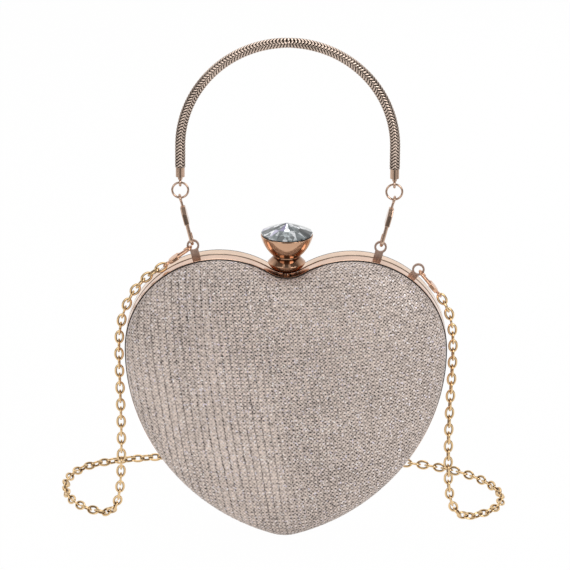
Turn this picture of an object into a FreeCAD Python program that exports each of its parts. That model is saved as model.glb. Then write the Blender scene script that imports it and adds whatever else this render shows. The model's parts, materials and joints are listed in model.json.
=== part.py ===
"""Heart shaped evening purse: two hard shells in a hinged metal frame.

Bench frame while modelling, in millimetres: x to the right, y to the back, z up, with the tip of the
heart at the origin and the parting plane of the two halves at y = 0. On export every piece is moved so
that the origin is under the top of the handle's arch, where a hand or a hook holds the purse.
"""
import FreeCAD, Part
import math
import os
from FreeCAD import Placement, Rotation, Vector

# Heart outline, made of arcs that meet tangent to each other
HEART_WIDTH = 180.0
HEART_HEIGHT = 165.0
LOBE_RADIUS = 53.0
SIDE_RADIUS = 115.0
TIP_RADIUS = 25.0
VALLEY_RADIUS = 17.4

# Domed halves
DOME_BULGE = 20.0
DOME_CENTRE_HEIGHT = 92.0
DOME_STEPS_DEG = (0, 14, 28, 42, 55, 67, 77, 84)
COVER_THICKNESS = 0.8
SHELL_THICKNESS = 1.6
LINING_THICKNESS = 0.6
GLUE_GAP = 0.15

# Frame bands
FRAME_DEPTH = 8.0
FRAME_WALL = 1.0
LIP = 0.9
GROOVE_DEPTH = 3.0
PARTING_GAP = 0.35
PARTING_EDGE_ROUND = 1.3
LIP_EDGE_ROUND = 0.6

# Tip hinge
HINGE_WIDTH = 12.0
KNUCKLES = 5
KNUCKLE_GAP = 0.15
BARREL_RADIUS = 1.5
HINGE_PIN_RADIUS = 0.7
HINGE_DROP = 0.65
LEAF_THICKNESS = 1.0
LEAF_REACH = 4.8
RUNNING_GAP = 0.2
PIN_FIT = 0.05

# Rivets
RIVET_RADIUS = 0.7
RIVET_HEAD_RADIUS = 1.3
RIVET_HEAD_HEIGHT = 0.5
RIVET_GRIP = 2.0
RIVET_FIT = 0.03
HINGE_RIVET_X = 3.2
LOCK_RIVET_X = 6.4
HINGE_RIVET_Y = 3.3
LOCK_RIVET_Y = 4.0

# Latch under the knob
STEM_RADIUS = 1.8
STEM_NOTCH_GAP = 0.3
PIVOT_DROP = 8.0
PIVOT_PIN_RADIUS = 0.8
BOSS_RADIUS = 2.4
BOSS_LENGTH = 6.6
CHEEK_THICKNESS = 1.2
CHEEK_BACK = 2.2
CHEEK_FRONT = 4.8
LOCK_BASE_THICKNESS = 1.2
LOCK_BASE_WIDTH = 16.0
LOCK_BASE_BACK = 3.0
LOCK_BASE_FRONT = 7.5
TAIL_LENGTH = 4.4
TAIL_HALF_WIDTH = 2.0
TAIL_HALF_DEPTH = 1.2
NOSE_REACH = 4.0
NOSE_THICKNESS = 1.3
NOSE_GAP = 0.15
STRIKE_THICKNESS = 1.2
STRIKE_WIDTH = 8.0
SPRING_THICKNESS = 0.3
SPRING_WIDTH = 3.0
SPRING_GAP = 0.7
KNOB_TILT_DEG = 8.0

# Knob: bead, cup and stone, turned about a vertical line over the cleft
BEAD_LIFT = 1.1
BEAD_FOOT_RADIUS = 4.5
BEAD_RADIUS = 10.6
BEAD_RISE = 5.4
BEAD_SWELL = 0.9
BEAD_TOP_RADIUS = 7.6
BEAD_HEIGHT = 8.4
NECK_RADIUS = 6.9
NECK_HEIGHT = 1.2
CUP_FOOT_RADIUS = 7.9
CUP_RIM_RADIUS = 14.5
CUP_HEIGHT = 11.8
CUP_RIM_BAND = 0.8
CUP_SWELL = 1.0
CUP_WALL = 0.5
STONE_SHORT = 0.2
STONE_GAP = 0.1
FOIL_THICKNESS = 0.12
GIRDLE_HEIGHT = 0.8
CROWN_HEIGHT = 5.6
CROWN_RING_SHARE = 0.52
CROWN_RING_RISE_SHARE = 0.52
PAVILION_HEIGHT = 7.0
STONE_SIDES = 16

# Lugs: flat stamped eyes let into the front band
LUG_PLANE = 2.8
LUG_THICKNESS = 1.2
LUG_EYE_INNER = 2.4
LUG_EYE_OUTER = 3.5
LUG_TAB_WIDTH = 4.6
LUG_FOOT = 1.5
LUG_FIT = 0.05
HANDLE_LUG_ANGLE = 75.7
HANDLE_LUG_REACH = 7.9
CHAIN_LUG_ANGLE = 51.8
CHAIN_LUG_REACH = 5.6
HOOK_SEAT = 0.25
GATE_GAP = 0.35

# Handle
HANDLE_LEG = 12.4
HANDLE_TUBE_RADIUS = 2.9
CAP_RADIUS = 2.5
CAP_CORE_RADIUS = 1.8
CAP_HEIGHT = 5.6
CAP_FLOOR = 1.6
CAP_FIT = 0.1
CAP_NECK_RADIUS = 1.3
CAP_NECK = 1.6
LOOP_RADIUS = 1.75
LOOP_WIRE = 0.75
RING_RADIUS = 4.4
RING_WIRE = 0.6
LINK_SEAT = 0.2

# Strap of cable links
LINK_WIRE = 1.5
LINK_WIDTH = 5.6
LINK_PITCH = 5.2
LINK_PLAY = 0.3
LEFT_CLASP_ANGLE = 217.0
RIGHT_CLASP_ANGLE = -51.0
FLOOR_HEIGHT = -2.5
STRAP_LIE = 2.35

# The strap's way between its two clasps, by hand-picked points: down the left side, lying on the floor
# round behind the purse with its spare length in a bend, and up the right side
STRAP_LEFT_DROP = (
    (-71.8, -2.4, 156.6), (-79.0, -0.8, 151.0), (-86.2, 1.0, 141.3), (-91.4, 2.5, 129.2), (-93.8, 3.5, 114.0),
    (-93.4, 4.5, 92.0), (-92.6, 5.5, 66.0), (-92.5, 7.0, 42.0), (-93.2, 9.0, 24.0), (-94.8, 12.5, 11.5),
    (-98.0, 17.5, 3.6),
)
STRAP_ON_FLOOR = (
    (-103.0, 23.0), (-110.5, 27.5), (-118.5, 34.5), (-125.0, 47.0), (-128.0, 63.0), (-126.0, 80.0),
    (-118.0, 94.5), (-104.0, 103.5), (-87.0, 108.5), (-71.0, 111.5), (-58.0, 119.0), (-52.5, 135.0),
    (-50.0, 152.0), (-40.0, 166.0), (-22.0, 172.5), (0.0, 173.5), (22.0, 173.5), (45.0, 175.0),
    (58.8, 169.3), (64.5, 155.5), (58.8, 141.7), (45.0, 136.0), (24.0, 138.0), (4.0, 138.5), (-16.0, 138.5),
    (-29.8, 132.8), (-35.5, 119.0), (-29.8, 105.2), (-16.0, 99.5), (4.0, 101.5), (26.0, 106.5), (51.0, 108.5),
    (76.0, 104.5), (97.0, 95.5), (113.0, 82.5), (123.5, 66.0), (126.5, 48.5), (121.0, 33.5), (111.0, 24.5),
)
STRAP_RIGHT_DROP = (
    (102.8, 19.6, 0.6), (97.0, 15.8, 6.2), (93.9, 11.6, 16.0), (92.7, 8.6, 30.0), (92.4, 6.6, 48.0),
    (92.5, 5.2, 70.0), (93.4, 4.4, 92.0), (93.9, 2.6, 112.0), (92.6, 0.0, 126.5), (89.2, -2.0, 137.4),
)


def on_arc(centre, radius, angle_deg):
    """Point of the heart's plane at an angle on a circle, as (x, z)."""
    angle = math.radians(angle_deg)
    return (centre[0] + radius * math.cos(angle), centre[1] + radius * math.sin(angle))


def direction_deg(start, end):
    """Angle of the line from one (x, z) point to another."""
    return math.degrees(math.atan2(end[1] - start[1], end[0] - start[0]))


class Heart:
    """Outline of tangent arcs; an inset keeps the centres and changes the radii, so it is exact."""

    def __init__(self):
        self.lobe = (HEART_WIDTH / 2 - LOBE_RADIUS, HEART_HEIGHT - LOBE_RADIUS)
        rise = math.sqrt((LOBE_RADIUS + VALLEY_RADIUS) ** 2 - self.lobe[0] ** 2)
        self.valley = (0.0, self.lobe[1] + rise)
        self.tip = (0.0, TIP_RADIUS)
        self.side = self.side_centre()

    def side_centre(self):
        """Centre of the arc that holds both the lobe's and the tip's arc inside it."""
        to_lobe = SIDE_RADIUS - LOBE_RADIUS
        to_tip = SIDE_RADIUS - TIP_RADIUS
        dx = self.lobe[0] - self.tip[0]
        dz = self.lobe[1] - self.tip[1]
        gap = math.hypot(dx, dz)
        along = (to_tip ** 2 - to_lobe ** 2 + gap ** 2) / (2 * gap)
        across = math.sqrt(to_tip ** 2 - along ** 2)
        x = self.tip[0] + (along * dx - across * dz) / gap
        z = self.tip[1] + (along * dz + across * dx) / gap
        return (x, z)

    def right_arcs(self, inset):
        """Arcs of the right half from the cleft to the tip: centre, radius, first and last angle."""
        valley_end = direction_deg(self.valley, self.lobe)
        lobe_end = direction_deg(self.side, self.lobe)
        side_end = direction_deg(self.side, self.tip)
        return (
            (self.valley, VALLEY_RADIUS + inset, -90.0, valley_end),
            (self.lobe, LOBE_RADIUS - inset, direction_deg(self.lobe, self.valley), lobe_end),
            (self.side, SIDE_RADIUS - inset, lobe_end, side_end),
            (self.tip, TIP_RADIUS - inset, side_end, -90.0),
        )

    def wire(self, inset, y, scale=1.0):
        """Closed outline in the plane at y, drawn in by inset, then scaled about the dome's centre."""
        edges = []
        for centre, radius, first, last in self.right_arcs(inset):
            edges.append([on_arc(centre, radius, first + (last - first) * k / 2) for k in range(3)])
        edges += [[(-x, z) for x, z in reversed(points)] for points in reversed(edges)]
        arcs = []
        for points in edges:
            placed = [Vector(x * scale, y, DOME_CENTRE_HEIGHT + (z - DOME_CENTRE_HEIGHT) * scale)
                      for x, z in points]
            arcs.append(Part.Arc(*placed).toShape())
        return Part.Wire(arcs)

    def slab(self, inset, y_start, y_end):
        """Solid heart of one inset between two planes."""
        return Part.Face(self.wire(inset, y_start)).extrude(Vector(0, y_end - y_start, 0))

    def band(self, outer_inset, inner_inset, y_start, y_end):
        """Heart shaped band between two insets and two planes."""
        return self.slab(outer_inset, y_start, y_end).cut(self.slab(inner_inset, y_start, y_end))

    def on_lobe(self, angle_deg, off):
        """Point off the right lobe's outer face, and the outward direction there, both in x and z."""
        x, z = on_arc(self.lobe, LOBE_RADIUS + off, angle_deg)
        outward = Vector(math.cos(math.radians(angle_deg)), 0, math.sin(math.radians(angle_deg)))
        return x, z, outward


HEART = Heart()
COVER_INSET = LIP + GLUE_GAP
SHELL_INSET = COVER_INSET + COVER_THICKNESS + GLUE_GAP
GROOVE_INNER = SHELL_INSET + SHELL_THICKNESS + GLUE_GAP
FRAME_INNER = GROOVE_INNER + FRAME_WALL
LINING_INSET = SHELL_INSET + SHELL_THICKNESS + GLUE_GAP
GROOVE_FLOOR = FRAME_DEPTH - GROOVE_DEPTH
HINGE_HEIGHT = -HINGE_DROP
SPOT_FACE = HINGE_HEIGHT + BARREL_RADIUS + RUNNING_GAP
VALLEY_HEIGHT = HEART.valley[1] - VALLEY_RADIUS
VALLEY_UNDERSIDE = VALLEY_HEIGHT - FRAME_INNER
LOCK_TOP = VALLEY_UNDERSIDE - GLUE_GAP
PIVOT_HEIGHT = VALLEY_HEIGHT - PIVOT_DROP
BEAD_FOOT = VALLEY_HEIGHT + BEAD_LIFT
CUP_FOOT = BEAD_FOOT + BEAD_HEIGHT + NECK_HEIGHT
CUP_RIM = CUP_FOOT + CUP_HEIGHT
HOLLOW_RADIUS = CUP_RIM_RADIUS - CUP_WALL
STONE_RADIUS = CUP_RIM_RADIUS - STONE_SHORT
STONE_LIFT = STONE_GAP + FOIL_THICKNESS + STONE_GAP
LINK_INNER = LINK_PITCH + LINK_PLAY
LINK_REACH = (LINK_INNER + LINK_WIRE) / 2


def box(x_range, y_range, z_range):
    """Box between three pairs of coordinates."""
    low = Vector(x_range[0], y_range[0], z_range[0])
    return Part.makeBox(x_range[1] - x_range[0], y_range[1] - y_range[0], z_range[1] - z_range[0], low)


def rod(start, end, radius):
    """Round bar between two points."""
    return Part.makeCylinder(radius, (end - start).Length, start, end - start)


def disc(centre, radius):
    """Level round face."""
    return Part.Face(Part.Wire(Part.Circle(centre, Vector(0, 0, 1), radius).toShape()))


def on_x_axis(y, z, half, radius):
    """Round bar along x, centred over the heart's middle plane."""
    return rod(Vector(-half, y, z), Vector(half, y, z), radius)


def fused(first, *others):
    """One solid from several that overlap."""
    return first.multiFuse(list(others)).removeSplitter()


def to_back(shape):
    """The back half's twin of a front piece."""
    return shape.mirror(Vector(0, 0, 0), Vector(0, 1, 0))


def to_left(shape):
    """The left twin of a right piece."""
    return shape.mirror(Vector(0, 0, 0), Vector(1, 0, 0))


def turned(profile, swelled_side=None, swell=0.0):
    """Solid turned about the z axis from (radius, height) points that start and end on it.

    The side that starts at the point numbered swelled_side is an arc that bows out by swell.
    """
    points = [Vector(radius, 0, height) for radius, height in profile]
    sides = []
    for k, (start, end) in enumerate(zip(points, points[1:] + points[:1])):
        if k == swelled_side:
            side = end - start
            out = Vector(side.z, 0, -side.x).normalize() * swell
            sides.append(Part.Arc(start, (start + end) / 2 + out, end).toShape())
        else:
            sides.append(Part.makeLine(start, end))
    return Part.Face(Part.Wire(sides)).revolve(Vector(0, 0, 0), Vector(0, 0, 1), 360)


def dome(inset, bulge, skirt_start):
    """Filled front dome of one layer, with a straight skirt back to the plane at -skirt_start."""
    sections = []
    for step in DOME_STEPS_DEG:
        angle = math.radians(step)
        sections.append(HEART.wire(inset, -FRAME_DEPTH - bulge * math.sin(angle), math.cos(angle)))
    body = Part.makeLoft(sections, True, False)
    if skirt_start >= FRAME_DEPTH:
        return body
    return body.fuse(HEART.slab(inset, -skirt_start, -FRAME_DEPTH)).removeSplitter()


def dome_layer(outer_inset, depth_in, thickness, skirt_start):
    """One layer of the front half: what lies between two nested domes."""
    outer = dome(outer_inset, DOME_BULGE - depth_in, skirt_start)
    inner = dome(outer_inset + thickness, DOME_BULGE - depth_in - thickness, skirt_start)
    return outer.cut(inner)


def front_layers():
    """Cover, shell and lining of the front half."""
    skirt = GROOVE_FLOOR + GLUE_GAP
    shell_in = COVER_THICKNESS + GLUE_GAP
    lining_in = shell_in + SHELL_THICKNESS + GLUE_GAP
    cover = dome_layer(COVER_INSET, 0.0, COVER_THICKNESS, skirt)
    shell = dome_layer(SHELL_INSET, shell_in, SHELL_THICKNESS, skirt)
    lining = dome_layer(LINING_INSET, lining_in, LINING_THICKNESS, FRAME_DEPTH)
    return cover, shell, lining


def outline_edges(shape, y):
    """Edges of the outermost outline in the plane at y."""
    radii = [arc[1] for arc in HEART.right_arcs(0.0)]
    found = []
    for edge in shape.Edges:
        if not isinstance(edge.Curve, Part.Circle) or abs(edge.Curve.Center.y - y) > 1e-6:
            continue
        if any(abs(edge.Curve.Radius - radius) < 1e-6 for radius in radii):
            found.append(edge)
    return found


def front_band():
    """Plain front band: a solid rail, an outer lip and an inner wall with the shell's groove between."""
    rail = HEART.band(0.0, FRAME_INNER, -PARTING_GAP / 2, -GROOVE_FLOOR)
    lip = HEART.band(0.0, LIP, -GROOVE_FLOOR, -FRAME_DEPTH)
    wall = HEART.band(GROOVE_INNER, FRAME_INNER, -GROOVE_FLOOR, -FRAME_DEPTH + GLUE_GAP)
    band = fused(rail, lip, wall)
    band = band.makeFillet(PARTING_EDGE_ROUND, outline_edges(band, -PARTING_GAP / 2))
    return band.makeFillet(min(LIP_EDGE_ROUND, LIP * 0.8), outline_edges(band, -FRAME_DEPTH))


def rivet_places(spread):
    """The two x places of a pair of rivets."""
    return (-spread, spread)


def rivet(x, y, head_z, grip):
    """Rivet standing on its head, with its shank up through what it holds."""
    foot = Vector(x, y, head_z - RIVET_HEAD_HEIGHT)
    head = Part.makeCylinder(RIVET_HEAD_RADIUS, RIVET_HEAD_HEIGHT, foot)
    shank = Part.makeCylinder(RIVET_RADIUS, RIVET_HEAD_HEIGHT + grip, foot)
    return fused(head, shank)


def rivet_hole(x, y, head_z, grip):
    """Room for a rivet's shank."""
    return Part.makeCylinder(RIVET_RADIUS + RIVET_FIT, grip + RIVET_FIT, Vector(x, y, head_z))


def hinge_rivet_grip():
    """Length of a hinge rivet's shank: through the leaf and into the rail."""
    return LEAF_THICKNESS + RIVET_GRIP


def lock_rivet_grip():
    """Length of a lock rivet's shank: through the base, over the rail's hollow and into the rail."""
    rail = VALLEY_RADIUS + FRAME_INNER
    hollow = HEART.valley[1] - math.sqrt(rail ** 2 - (LOCK_RIVET_X - RIVET_RADIUS) ** 2) - LOCK_TOP
    return LOCK_BASE_THICKNESS + hollow + RIVET_GRIP


def rivet_pair(spread, y, head_z, grip, make):
    """A pair of rivets, or of their holes, as separate solids."""
    return Part.makeCompound([make(x, y, head_z, grip) for x in rivet_places(spread)])


def stem_notch():
    """Opening in both bands for the knob's stem, longer to the back for its tilt."""
    side = STEM_RADIUS + STEM_NOTCH_GAP
    swing = (VALLEY_HEIGHT + BEAD_LIFT - PIVOT_HEIGHT) * math.tan(math.radians(KNOB_TILT_DEG))
    return box((-side, side), (-side, side + swing), (VALLEY_UNDERSIDE - 1, BEAD_FOOT))


def tip_flat():
    """Flat for the hinge's leaves under both bands' tips."""
    half = HINGE_WIDTH / 2 + KNUCKLE_GAP
    reach = LEAF_REACH + KNUCKLE_GAP
    return box((-half, half), (-reach, reach), (HINGE_HEIGHT - BARREL_RADIUS, SPOT_FACE))


def front_frame(lug_feet):
    """Front band with the notch, the hinge flat, rivet holes and the lugs' slots."""
    head = SPOT_FACE - LEAF_THICKNESS
    lock_head = LOCK_TOP - LOCK_BASE_THICKNESS
    hinge_holes = rivet_pair(HINGE_RIVET_X, -HINGE_RIVET_Y, head, hinge_rivet_grip(), rivet_hole)
    lock_holes = rivet_pair(LOCK_RIVET_X, -LOCK_RIVET_Y, lock_head, lock_rivet_grip(), rivet_hole)
    return front_band().cut([stem_notch(), tip_flat(), hinge_holes, lock_holes] + lug_feet)


def back_frame():
    """Back band with the notch, the hinge flat and rivet holes."""
    head = SPOT_FACE - LEAF_THICKNESS
    lock_head = LOCK_TOP - LOCK_BASE_THICKNESS
    hinge_holes = rivet_pair(HINGE_RIVET_X, HINGE_RIVET_Y, head, hinge_rivet_grip(), rivet_hole)
    strike_holes = rivet_pair(LOCK_RIVET_X, LOCK_RIVET_Y, lock_head, lock_rivet_grip(), rivet_hole)
    return to_back(front_band()).cut([stem_notch(), tip_flat(), hinge_holes, strike_holes])


def knuckle_spans(first):
    """Ranges in x of every second knuckle, from the first or the second one."""
    width = HINGE_WIDTH / KNUCKLES
    start = -HINGE_WIDTH / 2
    return [(start + width * k + KNUCKLE_GAP / 2, start + width * (k + 1) - KNUCKLE_GAP / 2)
            for k in range(first, KNUCKLES, 2)]


def hinge_leaf(side, first):
    """Leaf under one band's tip, side -1 at the front and 1 at the back, with its knuckles."""
    near = side * (BARREL_RADIUS + RUNNING_GAP)
    half = HINGE_WIDTH / 2
    heights = (SPOT_FACE - LEAF_THICKNESS, SPOT_FACE)
    leaf = box((-half, half), sorted((near, side * LEAF_REACH)), heights)
    barrel_heights = (SPOT_FACE - LEAF_THICKNESS, SPOT_FACE - RUNNING_GAP)
    for span in knuckle_spans(first):
        start = Vector(span[0], 0, HINGE_HEIGHT)
        barrel = Part.makeCylinder(BARREL_RADIUS, span[1] - span[0], start, Vector(1, 0, 0))
        arm = box(span, sorted((0.0, near + side * RUNNING_GAP)), barrel_heights)
        leaf = leaf.fuse([barrel, arm])
    bore = on_x_axis(0, HINGE_HEIGHT, half + 1, HINGE_PIN_RADIUS + PIN_FIT)
    holes = rivet_pair(HINGE_RIVET_X, side * HINGE_RIVET_Y, heights[0], hinge_rivet_grip(), rivet_hole)
    return leaf.cut([bore, holes]).removeSplitter()


def hinge_pin():
    """Pin through all the knuckles."""
    return on_x_axis(0, HINGE_HEIGHT, HINGE_WIDTH / 2, HINGE_PIN_RADIUS)


def cheek_places():
    """Ranges in x of the lock's two cheeks."""
    inner = BOSS_LENGTH / 2 + RUNNING_GAP
    return ((-inner - CHEEK_THICKNESS, -inner), (inner, inner + CHEEK_THICKNESS))


def lock_housing():
    """Bracket under the front band: a riveted base and two cheeks that hold the lever's pin."""
    half = LOCK_BASE_WIDTH / 2
    base_heights = (LOCK_TOP - LOCK_BASE_THICKNESS, LOCK_TOP)
    body = box((-half, half), (-LOCK_BASE_FRONT, -LOCK_BASE_BACK), base_heights)
    foot = PIVOT_HEIGHT - BOSS_RADIUS
    for span in cheek_places():
        body = body.fuse(box(span, (-CHEEK_FRONT, CHEEK_BACK), (foot, LOCK_TOP - LOCK_BASE_THICKNESS)))
    bore = on_x_axis(0, PIVOT_HEIGHT, half, PIVOT_PIN_RADIUS + PIN_FIT)
    holes = rivet_pair(LOCK_RIVET_X, -LOCK_RIVET_Y, base_heights[0], lock_rivet_grip(), rivet_hole)
    return body.cut([bore, holes]).removeSplitter()


def pivot_pin():
    """The lever's pin, flush with the outside of the cheeks."""
    return on_x_axis(0, PIVOT_HEIGHT, cheek_places()[1][1], PIVOT_PIN_RADIUS)


def nose_top():
    """Height of the latch nose's upper face."""
    return PIVOT_HEIGHT - TAIL_LENGTH + NOSE_THICKNESS / 2


def latch_lever():
    """Lever on the pin: the stem up to the bead, a boss, a tail and the nose under the strike."""
    stem = rod(Vector(0, 0, PIVOT_HEIGHT), Vector(0, 0, BEAD_FOOT + BEAD_HEIGHT / 2), STEM_RADIUS)
    half = BOSS_LENGTH / 2
    boss = on_x_axis(0, PIVOT_HEIGHT, half, BOSS_RADIUS)
    nose_low = nose_top() - NOSE_THICKNESS
    tail_x = (-TAIL_HALF_WIDTH, TAIL_HALF_WIDTH)
    tail = box(tail_x, (-TAIL_HALF_DEPTH, TAIL_HALF_DEPTH), (nose_low, PIVOT_HEIGHT))
    nose = box(tail_x, (-TAIL_HALF_DEPTH, NOSE_REACH), (nose_low, nose_top()))
    bore = on_x_axis(0, PIVOT_HEIGHT, half + 1, PIVOT_PIN_RADIUS + PIN_FIT)
    return fused(stem, boss, tail, nose).cut(bore)


def latch_spring():
    """Leaf spring from the lock's base down in front of the lever's tail."""
    base = LOCK_TOP - LOCK_BASE_THICKNESS
    tail_front = -TAIL_HALF_DEPTH - SPRING_GAP
    bend = -BOSS_RADIUS - SPRING_GAP
    path = [(-LOCK_BASE_FRONT, base), (-LOCK_BASE_BACK - SPRING_GAP, base), (bend, PIVOT_HEIGHT),
            (tail_front, nose_top())]
    back = [(y - SPRING_THICKNESS, z - SPRING_THICKNESS) for y, z in reversed(path[1:])]
    outline = path + back + [(-LOCK_BASE_FRONT, base - SPRING_THICKNESS)]
    points = [Vector(-SPRING_WIDTH / 2, y, z) for y, z in outline]
    return Part.Face(Part.makePolygon(points + points[:1])).extrude(Vector(SPRING_WIDTH, 0, 0))


def strike_plate():
    """Plate under the back band: a riveted flange and a lip that hangs down over the nose."""
    half = LOCK_BASE_WIDTH / 2
    front = BOSS_RADIUS + RUNNING_GAP
    base_heights = (LOCK_TOP - LOCK_BASE_THICKNESS, LOCK_TOP)
    flange = box((-half, half), (front, LOCK_BASE_FRONT), base_heights)
    lip = box((-STRIKE_WIDTH / 2, STRIKE_WIDTH / 2), (front, front + STRIKE_THICKNESS),
              (nose_top() + NOSE_GAP, LOCK_TOP))
    holes = rivet_pair(LOCK_RIVET_X, LOCK_RIVET_Y, base_heights[0], lock_rivet_grip(), rivet_hole)
    return fused(flange, lip).cut(holes)


def knob_bead():
    """Turned bead with a rounded underside and an angular edge, bored for the stem."""
    top = BEAD_FOOT + BEAD_HEIGHT
    profile = [(0, BEAD_FOOT), (BEAD_FOOT_RADIUS, BEAD_FOOT), (BEAD_RADIUS, BEAD_FOOT + BEAD_RISE),
               (BEAD_TOP_RADIUS, top), (0, top)]
    bore_top = Vector(0, 0, BEAD_FOOT + BEAD_HEIGHT / 2 + PIN_FIT)
    bore = rod(Vector(0, 0, BEAD_FOOT - 1), bore_top, STEM_RADIUS + PIN_FIT)
    return turned(profile, 1, BEAD_SWELL).cut(bore)


def stone_seat(lift, radius):
    """Height at a radius of the cone that the stone's back lies in, lifted off the cup."""
    return CUP_RIM - PAVILION_HEIGHT + lift + PAVILION_HEIGHT * radius / HOLLOW_RADIUS


def knob_cup():
    """Bowl on a neck, swelling up to a rim band, hollow for the stone."""
    bead_top = BEAD_FOOT + BEAD_HEIGHT
    profile = [(0, bead_top), (NECK_RADIUS, bead_top), (NECK_RADIUS, CUP_FOOT), (CUP_FOOT_RADIUS, CUP_FOOT),
               (CUP_RIM_RADIUS, CUP_RIM - CUP_RIM_BAND), (CUP_RIM_RADIUS, CUP_RIM), (0, CUP_RIM)]
    over = CUP_RIM_RADIUS + CUP_RIM_BAND
    hollow = [(0, stone_seat(0.0, 0.0)), (over, stone_seat(0.0, over)), (0, stone_seat(0.0, over))]
    return turned(profile, 3, CUP_SWELL).cut(turned(hollow))


def knob_foil():
    """Thin bright foil between the stone's pavilion and the cup, up to the plane of the rim."""
    low = STONE_GAP
    high = STONE_GAP + FOIL_THICKNESS
    outer, inner = (HOLLOW_RADIUS * (1.0 - lift / PAVILION_HEIGHT) for lift in (low, high))
    profile = [(0, stone_seat(low, 0.0)), (outer, CUP_RIM), (inner, CUP_RIM), (0, stone_seat(high, 0.0))]
    return turned(profile)


def stone_ring(radius, height, count, turn):
    """Even ring of corners about the knob's axis."""
    step = 2 * math.pi / count
    return [Vector(radius * math.cos(step * (k + turn)), radius * math.sin(step * (k + turn)), height)
            for k in range(count)]


def stone_facet(*corners):
    """Flat facet through its corners."""
    return Part.Face(Part.makePolygon(list(corners) + [corners[0]]))


def knob_stone():
    """Pointed stone as wide as the cup: sixteen girdle sides, a crown of two tiers, a pointed pavilion."""
    seat = stone_seat(STONE_LIFT, STONE_RADIUS)
    half = STONE_SIDES // 2
    low = stone_ring(STONE_RADIUS, seat, STONE_SIDES, 0.0)
    high = stone_ring(STONE_RADIUS, seat + GIRDLE_HEIGHT, STONE_SIDES, 0.0)
    ring_height = seat + GIRDLE_HEIGHT + CROWN_HEIGHT * CROWN_RING_RISE_SHARE
    ring = stone_ring(STONE_RADIUS * CROWN_RING_SHARE, ring_height, half, 0.0)
    apex = Vector(0, 0, seat + GIRDLE_HEIGHT + CROWN_HEIGHT)
    point = Vector(0, 0, stone_seat(STONE_LIFT, 0.0))
    facets = []
    for k in range(STONE_SIDES):
        after = (k + 1) % STONE_SIDES
        facets.append(stone_facet(low[k], low[after], high[after], high[k]))
        facets.append(stone_facet(point, low[after], low[k]))
    for k in range(half):
        after = (k + 1) % half
        first, middle, last = high[2 * k], high[2 * k + 1], high[(2 * k + 2) % STONE_SIDES]
        facets.append(stone_facet(apex, ring[k], ring[after]))
        facets.append(stone_facet(ring[k], middle, ring[after]))
        facets.append(stone_facet(ring[k], first, middle))
        facets.append(stone_facet(ring[after], middle, last))
    return Part.makeSolid(Part.makeShell(facets))


def lug(angle_deg, reach, grow=0.0):
    """Right lug on the front band: a flat eye on a tab; grow widens it all round for its slot."""
    x, z, outward = HEART.on_lobe(angle_deg, reach)
    depth = LUG_THICKNESS / 2 + grow
    half = LUG_TAB_WIDTH / 2 + grow
    tab = box((-half, half), (-depth, depth), (-reach - LUG_FOOT - grow, 0.0))
    eye = Part.makeCylinder(LUG_EYE_OUTER, 2 * depth, Vector(0, -depth, 0), Vector(0, 1, 0))
    hole = Part.makeCylinder(LUG_EYE_INNER, 2 * depth, Vector(0, -depth, 0), Vector(0, 1, 0))
    body = fused(tab, eye).cut(hole)
    across = Vector(outward.z, 0, -outward.x)
    body.Placement = Placement(Vector(x, -LUG_PLANE, z), Rotation(across, Vector(0, 1, 0), outward, "ZXY"))
    return body


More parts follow.
